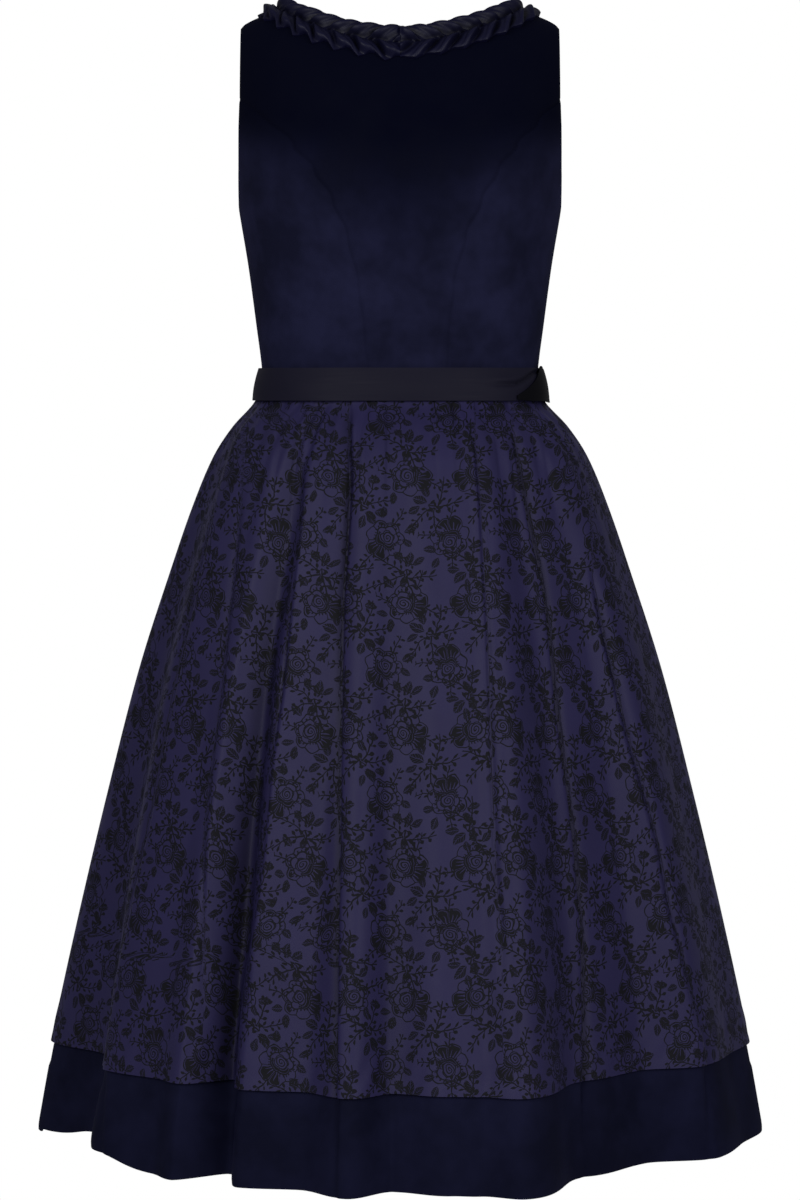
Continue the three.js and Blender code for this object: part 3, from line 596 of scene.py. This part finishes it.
def motif_cell(tree, chart, shift, turn_step):
    """Parts the cloth into staggered squares of half a tile, and turns four neighbours four ways."""
    side = TILE / 2
    middle = (side / 2, side / 2, 0)
    moved = add(tree, VECTOR_MATH, chart, (shift[0], shift[1], 0), operation="ADD")
    split = add(tree, "ShaderNodeSeparateXYZ", moved)
    row = add(tree, MATH, split.outputs[1], 1 / side, operation="MULTIPLY")
    row = add(tree, MATH, row, operation="FLOOR")
    odd_row = add(tree, MATH, row, 2.0, operation="FLOORED_MODULO")
    x = add(tree, MATH, odd_row, ROW_SHIFT, split.outputs[0], operation="MULTIPLY_ADD")
    column = add(tree, MATH, x, 1 / side, operation="MULTIPLY")
    column = add(tree, MATH, column, operation="FLOOR")
    odd_column = add(tree, MATH, column, 2.0, operation="FLOORED_MODULO")
    which = add(tree, MATH, odd_column, 2.0, odd_row, operation="MULTIPLY_ADD")
    angle = add(tree, MATH, which, turn_step, 0.35, operation="MULTIPLY_ADD")
    local_x = add(tree, MATH, column, -side, x, operation="MULTIPLY_ADD")
    local_y = add(tree, MATH, row, -side, split.outputs[1], operation="MULTIPLY_ADD")
    local = add(tree, "ShaderNodeCombineXYZ", local_x, local_y, 0.0)
    turned = add(tree, "ShaderNodeVectorRotate", local, middle, angle, rotation_type="Z_AXIS")
    return add(tree, VECTOR_MATH, turned, middle, operation="SUBTRACT")


def scattered(tree, cell, motif, places, total=None):
    """Adds each copy of a motif to the pattern, at its own place in the cell."""
    for middle, size, turn in places:
        angle = math.radians(-turn)
        place = ((-middle[0] * math.cos(angle) + middle[1] * math.sin(angle)) / size,
                 (-middle[0] * math.sin(angle) - middle[1] * math.cos(angle)) / size, 0)
        local = add(tree, "ShaderNodeMapping", cell, place, (0, 0, angle), (1 / size,) * 3)
        copy = add(tree, "ShaderNodeGroup", node_tree=motif)
        fill(tree, copy.inputs[0], local)
        total = copy if total is None else add(tree, MATH, total, copy, operation="MAXIMUM")
    return total


def rose_jacquard(name):
    """Two-tone jacquard: a satin-faced navy ground with a soft lustre, and a flatter, darker rose pattern."""
    made, tree, shader = new_material(name)
    chart = add(tree, "ShaderNodeUVMap", uv_map="cloth")
    in_mm = add(tree, VECTOR_MATH, chart, (1000, 1000, 1000), operation="MULTIPLY")
    leaf, sprig = leaf_motif(), sprig_motif()
    # The drawn line wavers by about a millimetre over 11 mm, so that no petal or stem is ruled
    waver = add(tree, NOISE, in_mm, 0.09, 1.0, 0.5).outputs[1]
    waver = add(tree, VECTOR_MATH, waver, (0.5, 0.5, 0.5), operation="SUBTRACT")
    waver = add(tree, VECTOR_MATH, waver, (5.0, 5.0, 0), operation="MULTIPLY")
    drawn = add(tree, VECTOR_MATH, in_mm, waver, operation="ADD")
    roses = motif_cell(tree, drawn, (0, 0), 1.9)
    pattern = scattered(tree, roses, rose_motif(), [((0, 0), ROSE_SIZE, 0)])
    pattern = scattered(tree, roses, leaf, ROSE_LEAVES, pattern)
    pattern = scattered(tree, roses, sprig, ROSE_SPRIGS, pattern)
    spaces = motif_cell(tree, drawn, (-20, 31), 1.3)
    pattern = scattered(tree, spaces, leaf, SPACE_LEAVES, pattern)
    pattern = scattered(tree, spaces, sprig, SPACE_SPRIGS, pattern)
    # Colour drifts a little in patches about 50 mm across, as dyed cloth does
    drift = add(tree, NOISE, in_mm, 0.02, 2.0, 0.5).outputs[0]
    ground = add(tree, "ShaderNodeMix", drift, linear("1c1936"), linear("211e3f"), data_type="RGBA")
    colour = add(tree, "ShaderNodeMix", pattern, ground, linear("07070e"), data_type="RGBA")
    # Steep twill lines, about 0.3 mm apart: from afar they only soften the gloss
    twill = add(tree, "ShaderNodeMapping", in_mm, None, (0, 0, math.radians(63)), (1.0, 1.0, 1.0))
    wave = add(tree, "ShaderNodeTexWave", twill, 1.0, 0.3, bands_direction="X").outputs[1]
    weave = add(tree, "ShaderNodeBump", 0.12, 0.0003)
    fill_named(tree, weave, {"Height": wave})
    motif = add(tree, "ShaderNodeBump", 0.35, 0.00025, invert=True)
    fill_named(tree, motif, {"Height": pattern, "Normal": weave})
    # The base colour carries painted shade where the apron's folds stand close
    fill_named(tree, shader, {
        "Base Color": painted_fold_shade(tree, colour, 26.0, 0.25),
        "Roughness": add(tree, RANGE, pattern, 0.0, 1.0, 0.52, 0.7),
        "Normal": motif,
        "Specular IOR Level": 0.12,
        "Sheen Weight": 0.08,
        "Sheen Roughness": 0.4,
        "Sheen Tint": linear("4a459a"),
    })
    return made


navy_velvet = cotton_velvet("cotton_velvet_navy", "0f1022", "191a31", 0.1)
jacquard = rose_jacquard("rose_jacquard_navy")
# Each satin's colour carries painted shade in its folds
black_satin = ribbon_satin("polyester_satin_black", "13121e", 0.55, 1.2, 8.0, 0.05)
# The turned end is the same satin with a darker colour: painted shade
turned_satin_painted_shade = ribbon_satin("polyester_satin_black_turned_painted_shade", "050508", 0.5, 1.2, 10.0, 0.04)
ruche_satin = ribbon_satin("pleated_satin_navy", "0a0a20", 0.45, 1.6, 13.0, 0.1)


# Bodice
SEAM_DIP = 1.3
SEAM_WIDTH = 3.2
EDGE_DIP = 0.9
EDGE_WIDTH = 2.5
DEEPEST_DIP = 1.6


def top_edge(x, centre):
    seam = shoulder_height(NECK_HALF_WIDTH)
    share = np.minimum(np.abs(x), NECK_HALF_WIDTH) / NECK_HALF_WIDTH
    inside = centre + (seam - centre) * share**NECK_CURVE
    return np.where(np.abs(x) >= NECK_HALF_WIDTH, shoulder_height(x), inside)


def panel_rows(count_low, count_high):
    """Shares of the way up a centre panel: even to the armhole's bend, then rounding over the shoulder."""
    tip = shoulder_height(SHOULDER_TIP)
    low = np.linspace(WAIST, ARMHOLE_BEND, count_low, endpoint=False)
    over = np.sin(np.linspace(0, np.pi / 2, count_high))
    return (np.concatenate([low, mix(ARMHOLE_BEND, tip, over)]) - WAIST) / (tip - WAIST)


def bodice_piece(node, angle, z):
    """One panel, sunk a little at the seams on both sides and rolled in at its upper edge."""
    normal = surface_normal(bodice_point, angle, z, 0.05, 0.05)
    outer = bodice_point(angle, z)
    span = lengths_along(outer, 1)
    height = lengths_along(outer, 0)
    dip = SEAM_DIP * (bump(span, SEAM_WIDTH) + bump(span[:, -1:] - span, SEAM_WIDTH))
    dip = dip + EDGE_DIP * bump(height[-1:] - height, EDGE_WIDTH)
    outer = outer - normal * np.minimum(dip, DEEPEST_DIP)[..., None]
    piece = cloth(f"{node}_cloth", [node], outer, normal, BODICE_CLOTH, navy_velvet)


def seam_place(seam, z):
    """How far out a princess seam runs, which above the bend is the shoulder's tip."""
    return np.where(z >= ARMHOLE_BEND, SHOULDER_TIP, smooth_table(*seam, z))


def centre_panel(node, shares, left_seam, right_seam, centre, is_back):
    climb, share = np.meshgrid(panel_rows(*CENTRE_PANEL_ROWS), shares, indexing="ij")
    z = mix(WAIST, top_edge(share * SHOULDER_TIP, centre), climb)
    x = np.where(share < 0, share * seam_place(left_seam, z), share * seam_place(right_seam, z))
    angle = bodice_angle(x, z)
    bodice_piece(node, 180 - angle if is_back else angle, z)


def side_panel(node, side, seam, is_back):
    rises = np.linspace(0, 1, SIDE_PANEL_ROWS)
    rise, across = np.meshgrid(rises, close_to_edges(PANEL_COLUMNS, 0.75), indexing="ij")
    turn = (1 - across) * np.pi / 2
    bend = bodice_angle(SHOULDER_TIP, ARMHOLE_BEND)
    edge_angle = 90 - (90 - bend) * np.sin(turn)
    edge_z = mix(UNDERARM, ARMHOLE_BEND, 1 - np.cos(turn))

    def seam_angle(z):
        return bodice_angle(seam_place(seam, z), z)

    z = mix(WAIST, edge_z, rise)
    straight = mix(seam_angle(z), 90, across)
    miss = edge_angle - mix(seam_angle(edge_z), 90, across)
    angle = straight + miss * rise**3
    bodice_piece(node, side * (180 - angle if is_back else angle), z)


half_shares = close_to_edges(PANEL_COLUMNS, 0.6)
both_shares = np.concatenate([-half_shares[:0:-1], half_shares])
front_left_seam, front_right_seam, back_seam = (FRONT_SEAMS, 1), (FRONT_SEAMS, 2), (BACK_SEAMS, 1)
centre_panel("bodice_front_centre", both_shares, front_left_seam, front_right_seam, FRONT_NECK, False)
for side, label, front_seam in ((-1, "left", front_left_seam), (1, "right", front_right_seam)):
    centre_panel(f"bodice_back_centre_{label}", side * half_shares, back_seam, back_seam, BACK_NECK, True)
    side_panel(f"bodice_front_side_{label}", side, front_seam, False)
    side_panel(f"bodice_back_side_{label}", side, back_seam, True)


# Skirt

def skirt_share(z):
    return np.clip((WAIST - z) / (WAIST - SKIRT_HEM), 0, 1)


def fold_value(i, field):
    rounds = np.floor_divide(i, len(FOLDS))
    return FOLDS[i - rounds * len(FOLDS), field] + (0 if field == 2 else 360 * rounds)


def column_angle(column, z):
    i = np.floor(column).astype(int)
    drift = skirt_share(z) ** FOLD_DRIFT
    here = mix(fold_value(i, 0), fold_value(i, 1), drift)
    there = mix(fold_value(i + 1, 0), fold_value(i + 1, 1), drift)
    return mix(here, there, column - i)


def column_out(column, z):
    i = np.floor(column).astype(int)
    swing = (1 - np.cos(np.pi * (column - i))) / 2
    out = mix(fold_value(i, 2), fold_value(i + 1, 2), swing)
    below = np.maximum(GATHER_TOP - z, 0)
    gather = GATHER_DEPTH * np.cos(3 * np.pi * column) * np.minimum(below / GATHER_START, 1)
    gather = gather * np.exp(-below / GATHER_FADE)
    return out * skirt_share(z) ** FOLD_GROWTH + gather


def skirt_point(column, z):
    angle = column_angle(column, z)
    turn = np.radians(angle)
    half_width = smooth_table(SKIRT, 1, z)
    flare = half_width - WAIST_SIDE
    depth = np.where(np.cos(turn) >= 0, WAIST_FRONT + FRONT_FLARE * flare, WAIST_BACK + BACK_FLARE * flare)
    squareness = mix(SQUARENESS, HEM_SQUARENESS, skirt_share(z))
    across = np.abs(np.sin(turn) / half_width) ** squareness
    along = np.abs(np.cos(turn) / depth) ** squareness
    radius = (across + along) ** (-1 / squareness) + column_out(column, z)
    return np.stack([radius * np.sin(turn), -radius * np.cos(turn), z + 0 * radius], -1)


def skirt_normal(column, z):
    return surface_normal(skirt_point, column, z, 0.02, 0.5)


# Sharp folds that fall from the band, seen from the front: height and how far across, from the top down
CREASE_LINES = {
    "far_left": [
        (-418, -166), (-467, -182), (-526, -193), (-573, -203), (-678, -224), (-777, -243), (-895, -270),
        (-937, -279), (-1012, -289),
    ],
    "left": [(-470, -153), (-579, -164), (-651, -171), (-735, -182), (-789, -187), (-911, -186)],
    "near_left": [
        (-450, -94), (-487, -97), (-551, -104), (-649, -113), (-714, -123), (-803, -131), (-891, -143),
    ],
    "centre_left": [
        (-377, -50), (-453, -48), (-505, -51), (-558, -55), (-660, -57), (-783, -58), (-905, -60),
        (-1014, -61),
    ],
    "centre_right": [
        (-408, 72), (-469, 77), (-532, 80), (-586, 83), (-660, 85), (-767, 88), (-828, 90), (-872, 95),
    ],
    "near_right": [
        (-400, 110), (-447, 118), (-496, 127), (-542, 138), (-588, 144), (-673, 152), (-761, 164),
        (-805, 169), (-884, 175), (-1007, 176),
    ],
    "far_right": [
        (-544, 187), (-608, 200), (-694, 220), (-759, 239), (-799, 250), (-867, 262), (-905, 273),
        (-941, 282), (-1005, 300),
    ],
}
# How deep each one is, how soft its shaded side is, and which way that side lies
CREASES = {
    "far_left": (6.0, 20, -1), "left": (3.5, 18, -1), "near_left": (5.0, 20, -1),
    "centre_left": (7.5, 22, -1), "centre_right": (3.5, 16, 1), "near_right": (8.5, 24, 1),
    "far_right": (5.5, 20, 1),
}
CREASE_EDGE = 2.6
CREASE_ROOT = 4
# A fold line that ends below this height runs on to the hem
RUNS_TO_HEM = -1000
# The velvet under the apron follows its folds only this much
SHARE_UNDER_APRON = 0.35
# Short pleats that die out below the band: across at the band, across at the end, height of the end, depth
PLEATS = [
    (-128, -141, -452, 2.2), (-112, -122, -470, 2.0), (-97, -107, -520, 2.4), (-82, -88, -455, 1.6),
    (-66, -70, -480, 1.6), (-30, -32, -450, 1.3), (-12, -12, -470, 1.1), (14, 15, -440, 1.2),
    (33, 36, -462, 1.5), (52, 57, -500, 1.6), (90, 98, -470, 1.8), (104, 116, -520, 2.0),
    (124, 138, -455, 2.2), (134, 150, -480, 1.6),
]


def crease_depth(point):
    """How far the folds and pleats of the front sink in, in millimetres."""
    x, z = point[..., 0], point[..., 2]
    front = ease((-point[..., 1] - 5) / 30)
    depth = np.zeros_like(x)
    for name, line in CREASE_LINES.items():
        deep, soft, way = CREASES[name]
        line = np.array(line[::-1], float)
        away = (x - np.interp(z, line[:, 0], line[:, 1])) * way
        shaded_side = 0.7 * np.exp(-away / soft) + 0.3 * bump(away, CREASE_ROOT)
        shape = np.where(away > 0, shaded_side, bump(away, CREASE_EDGE))
        top, bottom = line[-1, 0], line[0, 0]
        fade = ease((top + 25 - z) / 70)
        if bottom >= RUNS_TO_HEM:
            fade = fade * ease((z - bottom + 60) / 90)
        depth += deep * shape * fade
    for start, end, bottom, deep in PLEATS:
        share = np.clip((BAND_BOTTOM - z) / (BAND_BOTTOM - bottom), 0, 1.4)
        away = x - mix(start, end, share)
        fade = ease((BAND_BOTTOM + 8 - z) / 12) * ease(1.25 - share)
        depth += deep * fade * np.where(away < 0, bump(away, 2.5), np.exp(-away / 6))
    fade_below = mix(SHARE_UNDER_APRON, 1.0, ease((z - APRON_HEM + 70) / 60))
    return depth * front * fade_below


# The hem rises a little at the corner of the left panel and behind it
HEM_CORNER = -292
HEM_CORNER_LIFT = 12
HEM_SIDE_LIFT = 3
HEM_LIFT_HEIGHT = 70
SKIRT_SEAM_DIP = 1.2
SKIRT_SEAM_WIDTH = 3.5
HEM_DIP = 1.0
UNDER_APRON_DIP = 1.0


def skirt_quarter(name, nodes, first, last):
    heights = mix(SKIRT_HEM, WAIST, 1 - close_to_edges(SKIRT_ROWS, 0.3))
    count = int((last - first) * SKIRT_COLUMNS_PER_FOLD)
    columns = first + (last - first) * close_to_edges(count, 0.25)
    z, column = np.meshgrid(heights, columns, indexing="ij")
    normal = skirt_normal(column, z)
    outer = skirt_point(column, z)
    span = lengths_along(outer, 1)
    up = z - SKIRT_HEM
    x = outer[..., 0]
    lift = HEM_CORNER_LIFT * bump(x - HEM_CORNER, 30) + HEM_SIDE_LIFT * ease((-x - 290) / 30)
    outer[..., 2] += lift * (outer[..., 1] < 0) * ease(1 - up / HEM_LIFT_HEIGHT)
    dip = SKIRT_SEAM_DIP * (bump(span, SKIRT_SEAM_WIDTH) + bump(span[:, -1:] - span, SKIRT_SEAM_WIDTH))
    dip = dip + HEM_DIP * bump(up, 4)
    under_apron = (column > APRON_LEFT - 0.1) & (column < APRON_RIGHT + 0.1) & (z > APRON_HEM - 25)
    dip = dip + np.where(under_apron, UNDER_APRON_DIP, 0.0) + crease_depth(outer)
    outer = outer - normal * dip[..., None]
    piece = cloth(name, nodes, outer, normal, SKIRT_CLOTH, navy_velvet)


skirt_quarter("skirt_front_left_cloth", ["skirt_side_left", "skirt_front_left"], SIDE_LEFT, CENTRE)
skirt_quarter("skirt_front_right_cloth", ["skirt_front_right", "skirt_side_right"], CENTRE, SIDE_RIGHT)
skirt_quarter("skirt_back_right_cloth", ["skirt_back_side_right", "skirt_back_right"],
              SIDE_RIGHT, CENTRE_BACK)
skirt_quarter("skirt_back_left_cloth", ["skirt_back_left", "skirt_back_side_left"], CENTRE_BACK, len(FOLDS))


# Apron

def own_width(outer, z):
    """The cloth's own width at each point: flat between two folds, each of which hides what is left."""
    shown = lengths_along(outer, 1)
    own = np.empty_like(shown)
    ends = [np.zeros(len(shown))]
    for line in CREASE_LINES.values():
        line = np.array(line[::-1], float)
        fold_x = np.interp(z[:, 0], line[:, 0], line[:, 1])
        ends.append(np.array([np.interp(x, row[:, 0], s) for x, row, s in zip(fold_x, outer, shown)]))
    ends.append(shown[:, -1])
    for left, right in zip(ends, ends[1:]):
        middle = (left + right) / 2
        inside = (shown >= left[:, None]) & (shown <= right[:, None])
        own[inside] = (shown - middle[:, None] + middle[-1])[inside]
    return own


def apron():
    rows, columns = APRON_GRID
    heights = mix(APRON_HEM, WAIST - 4, 1 - close_to_edges(rows, 0.4))
    z, column = np.meshgrid(heights, np.linspace(APRON_LEFT, APRON_RIGHT, columns), indexing="ij")
    normal = skirt_normal(column, z)
    outer = skirt_point(column, z)
    outer = outer + normal * (LAYER_GAP + JACQUARD + 0.3 - crease_depth(outer))[..., None]
    above_hem = z - APRON_HEM
    # The machined hem draws the cloth up into small puckers
    width = lengths_along(outer, 1)
    pucker = 0.7 * np.sin(width * 0.21) * np.sin(width * 0.083 + 1.0)
    outer = outer + normal * (pucker * bump(above_hem - 22, 14) + 0.5 * bump(above_hem - 2, 8))[..., None]
    flat_drop = -lengths_along(outer, 0)
    piece = cloth("apron_panel_cloth", ["apron_panel"], outer, normal, JACQUARD, jacquard,
                  u=own_width(outer, z), v=flat_drop)


apron()


# Waist ribbon
BAND_BULGE = 1.2
DENT_HEIGHT = -357.5
DENT_RISE = 12
DENT_DEPTH = 2.2
DENT_RIDGE = 1.1
FLAP_START = 48
FLAP_END = 104


def band_point(angle, z, layer=0.0):
    turn = np.radians(angle)
    down = (BAND_TOP - z) / (BAND_TOP - BAND_BOTTOM)
    out = mix(BAND_TOP_OUT, BAND_BOTTOM_OUT, np.clip(down, 0, 1.1)) + layer
    out = out + BAND_BULGE * np.sin(np.pi * np.clip(down, 0, 1))
    depth = np.where(np.cos(turn) >= 0, WAIST_FRONT, WAIST_BACK)
    power = 2 / SQUARENESS
    return np.stack([
        (WAIST_SIDE + out) * signed_power(np.sin(turn), power),
        -(depth + out) * signed_power(np.cos(turn), power),
        z + 0 * out,
    ], -1)


def ribbon(name, node, finish, angles, bottom, top, layer, dent):
    share, angle = np.meshgrid(close_to_edges(RIBBON_ROWS, 0.4), angles, indexing="ij")
    z = mix(bottom, top, share)

    def surface(a, h):
        return band_point(a, h, layer)

    normal = surface_normal(surface, angle, z, 0.2, 0.2)
    outer = surface(angle, z) + normal * dent(angle, z)[..., None]
    length = lengths_along(outer, 1)
    piece = cloth(name, [node], outer, normal, RIBBON_CLOTH, finish, u=length, v=z - BAND_BOTTOM)


def band_dent(angle, z):
    """The ribbon is drawn in towards the tuck: a crease runs along it and rises to the folded end."""
    line = DENT_HEIGHT + DENT_RISE * ease((angle - 46) / 24)
    strength = ease((angle - 30) / 16) * ease((92 - angle) / 10)
    crease = -DENT_DEPTH * strength * bump(z - line, 2.2) + DENT_RIDGE * strength * bump(z - line - 5, 3.5)
    soft = 0.35 * np.sin(np.radians(angle) * 9 + 1.3) * np.sin((z - BAND_BOTTOM) * 0.16)
    return crease + soft


def tie_dent(angle, z):
    return 0.25 * np.sin(np.radians(angle) * 7) * np.sin((z - BAND_BOTTOM) * 0.13)


def flap_dent(angle, z):
    return 0.3 * np.sin(angle * 0.2) + 0 * z


front_angles = np.linspace(-BAND_END, BAND_END, BAND_COLUMNS)
back_angles = np.linspace(BAND_END, 360 - BAND_END, TIE_COLUMNS)
flap_angles = np.linspace(FLAP_START, FLAP_END, FLAP_COLUMNS)
ribbon("apron_band_cloth", "apron_band", black_satin, front_angles, BAND_BOTTOM, BAND_TOP, 0.0, band_dent)
ribbon("apron_tie_back_cloth", "apron_tie_back", black_satin, back_angles, BAND_BOTTOM, BAND_TOP, 0.0,
       tie_dent)
ribbon("apron_tie_end_cloth", "apron_tie_end", turned_satin_painted_shade, flap_angles, smooth_table(FLAP, 2, flap_angles),
       smooth_table(FLAP, 1, flap_angles), SATIN + LAYER_GAP, flap_dent)


# Ruche

def shoulder_point(x, climb):
    turn = np.radians(climb)
    z = mix(ARMHOLE_BEND, shoulder_height(x), np.sin(turn))
    depth = np.where(climb <= 90, smooth_table(BODICE, 2, z), smooth_table(BODICE, 3, z))
    across = np.minimum(np.abs(x) / smooth_table(BODICE, 1, z), 1)
    width = (1 - across**SQUARENESS) ** (1 / SQUARENESS)
    return np.stack([x + 0 * z, -depth * width * np.cos(turn), z], -1)


def neckline_place(turn):
    x = NECK_HALF_WIDTH * np.sin(np.radians(turn))
    is_front = np.cos(np.radians(turn)) >= 0
    z = top_edge(np.clip(x, -NECK_HALF_WIDTH, NECK_HALF_WIDTH), np.where(is_front, FRONT_NECK, BACK_NECK))
    climb = np.degrees(np.arcsin(shoulder_climb(x, z)))
    return x, np.where(is_front, climb, 180 - climb)


def unit(vectors):
    return vectors / np.linalg.norm(vectors, axis=-1, keepdims=True)


def walk_from_neckline(turn, distances):
    """Points that lie at each distance from the neckline, straight away from its edge over the shoulders."""
    along = unit(shoulder_point(*neckline_place(turn + 1)) - shoulder_point(*neckline_place(turn - 1)))
    x, climb = neckline_place(turn)
    walked = np.zeros_like(turn)
    steps = 3
    points, normals = [], []
    for distance in distances:
        step = (distance - walked) / steps
        for _ in range(steps):
            over_x = shoulder_point(x + 0.5, climb) - shoulder_point(x - 0.5, climb)
            over_climb = shoulder_point(x, climb + 0.5) - shoulder_point(x, climb - 0.5)
            away = unit(np.cross(along, unit(np.cross(over_x, over_climb))))
            xx, xc, cc = (over_x**2).sum(-1), (over_x * over_climb).sum(-1), (over_climb**2).sum(-1)
            bx, bc = (over_x * away).sum(-1), (over_climb * away).sum(-1)
            scale = step / (xx * cc - xc * xc)
            x = x + (bx * cc - bc * xc) * scale
            climb = climb + (bc * xx - bx * xc) * scale
        walked = distance
        points.append(shoulder_point(x, climb))
        normals.append(surface_normal(shoulder_point, x, climb, 0.3, 0.3))
    return np.stack(points), np.stack(normals)


def even_neck_turns(count):
    fine = np.linspace(0, 180, 2001)
    points = shoulder_point(*neckline_place(fine))
    lengths = np.concatenate([[0], np.cumsum(np.linalg.norm(np.diff(points, axis=0), axis=-1))])
    return np.interp(np.linspace(0, lengths[-1], count), lengths, fine)


def neck_ruche(label, is_left, seed):
    """Each leaf slants out of the centre line, swells, and drops sharply over the root of the next."""
    rng = np.random.default_rng(seed)
    stations = RUCHE_LEAVES * RUCHE_COLUMNS_PER_LEAF + 1
    turns = even_neck_turns(stations)
    fold = np.linspace(0, RUCHE_LEAVES, stations)
    across = np.linspace(0, 1, RUCHE_ROWS)
    lift = rng.uniform(0.85, 1.15, RUCHE_LEAVES + 4)
    lean_by = rng.uniform(-0.12, 0.12, RUCHE_LEAVES + 4)
    full = mix(RUCHE_WIDTH_CENTRE, RUCHE_WIDTH_SHOULDER, np.sin(np.radians(turns)))
    # Pointed tips stand out at the edge, longest on the viewer's left
    phase = (fold + 0.1) % 1.0
    tip_length = RUCHE_TIP_LEFT if is_left else RUCHE_TIP_RIGHT
    tip = tip_length * (np.clip(1 - np.abs(phase - 0.6) / 0.4, 0, 1) - 0.35)
    distances = [full * s + tip * s**3 - RUCHE_RISE for s in across]
    marks, normals = walk_from_neckline(-turns if is_left else turns, distances)
    row = np.where(across < 0.5, across * 2, 2 - across * 2)[:, None]
    half = (across >= 0.5).astype(float)[:, None]
    # The two rows and the two halves don't keep step, so that the join at the centre looks bunched
    start = RUCHE_START_LEFT if is_left else RUCHE_START_RIGHT
    lean = fold[None, :] + RUCHE_SLANT * (0.5 - row) + ROW_OFFSET * half + start
    leaf = np.clip(np.floor(lean).astype(int), 0, RUCHE_LEAVES + 3)
    lean = lean + lean_by[leaf] * 0.5
    phase = lean - np.floor(lean)
    rising = np.sin(np.pi / 2 * phase / LEAF_CREST) ** 1.2
    swell = np.where(phase < LEAF_CREST, rising, 1 - (phase - LEAF_CREST) / (1 - LEAF_CREST))
    swell = swell - 0.16 * bump(phase - 0.42, 0.1)
    arch = np.sin(np.pi * (0.1 + 0.8 * row)) ** 0.7
    arch = arch * (1 - 0.55 * bump(row - 1, 0.12))
    height = RUCHE_FLOOR + RUCHE_HEIGHT * lift[leaf] * (0.06 + 0.94 * swell) * arch
    # The leaves are a little lower where the two halves meet in front
    near_join = ease(fold / 0.15)[None, :]
    height = RUCHE_FLOOR + (height - RUCHE_FLOOR) * (0.75 + 0.25 * near_join)
    outer = marks + normals * height[..., None]
    piece = cloth(f"neck_ruche_{label}_cloth", [f"neck_ruche_{label}"], outer, normals,
                  height - RUCHE_UNDERSIDE, ruche_satin)


neck_ruche("left", True, 7)
neck_ruche("right", False, 8)


# Floor, light and camera, in metres
FLOOR_RADIUS = 1.02
FLOOR_HEIGHT = -1.42
FLOOR_SIDES = 96
LIGHT_FROM_BACKDROP = 0.24
LAMP_AIM = (0, 0, -0.5)
# Place of each lamp, its size, and its power in watts
LAMPS = {"key": ((-1.5, -3.0, 0.8), 2.0, 84), "fill": ((1.9, -2.8, 0.4), 2.0, 64)}
CAMERA_PLACE = (0, -3.65, -0.362)
CAMERA_LOOKS_DOWN = 3.3
CAMERA_LENS = 109.9
CAMERA_SENSOR = 36


def studio():
    bpy.ops.mesh.primitive_circle_add(vertices=FLOOR_SIDES, radius=FLOOR_RADIUS, fill_type="NGON",
                                      location=(0, 0, FLOOR_HEIGHT))
    floor = bpy.context.object
    floor.name = "pale_floor"
    paper, tree, shader = new_material("matt_white_paper")
    fill_named(tree, shader, {"Base Color": linear("f4f3f1"), "Roughness": 0.9})
    floor.data.materials.append(paper)
    # A white studio: the backdrop shows white and gives the cloth a dimmer, even light
    world = bpy.context.scene.world or bpy.data.worlds.new("studio")
    bpy.context.scene.world = world
    world.use_nodes = True
    tree = world.node_tree
    seen = add(tree, "ShaderNodeLightPath").outputs["Is Camera Ray"]
    strength = add(tree, RANGE, seen, 0.0, 1.0, LIGHT_FROM_BACKDROP, 1.0)
    fill_named(tree, tree.nodes["Background"], {"Color": (1.0, 1.0, 1.0, 1.0), "Strength": strength})
    for name, (place, size, power) in LAMPS.items():
        bpy.ops.object.light_add(type="AREA", location=place)
        lamp = bpy.context.object
        lamp.name = name
        lamp.data.size = size
        lamp.data.energy = power
        aim = Vector(LAMP_AIM) - Vector(place)
        lamp.rotation_euler = aim.to_track_quat("-Z", "Y").to_euler()
    bpy.ops.object.camera_add(location=CAMERA_PLACE, rotation=(math.radians(90 - CAMERA_LOOKS_DOWN), 0, 0))
    camera = bpy.context.object
    camera.data.lens = CAMERA_LENS
    camera.data.sensor_width = CAMERA_SENSOR
    bpy.context.scene.camera = camera
    bpy.context.scene.view_settings.view_transform = "Standard"


studio()
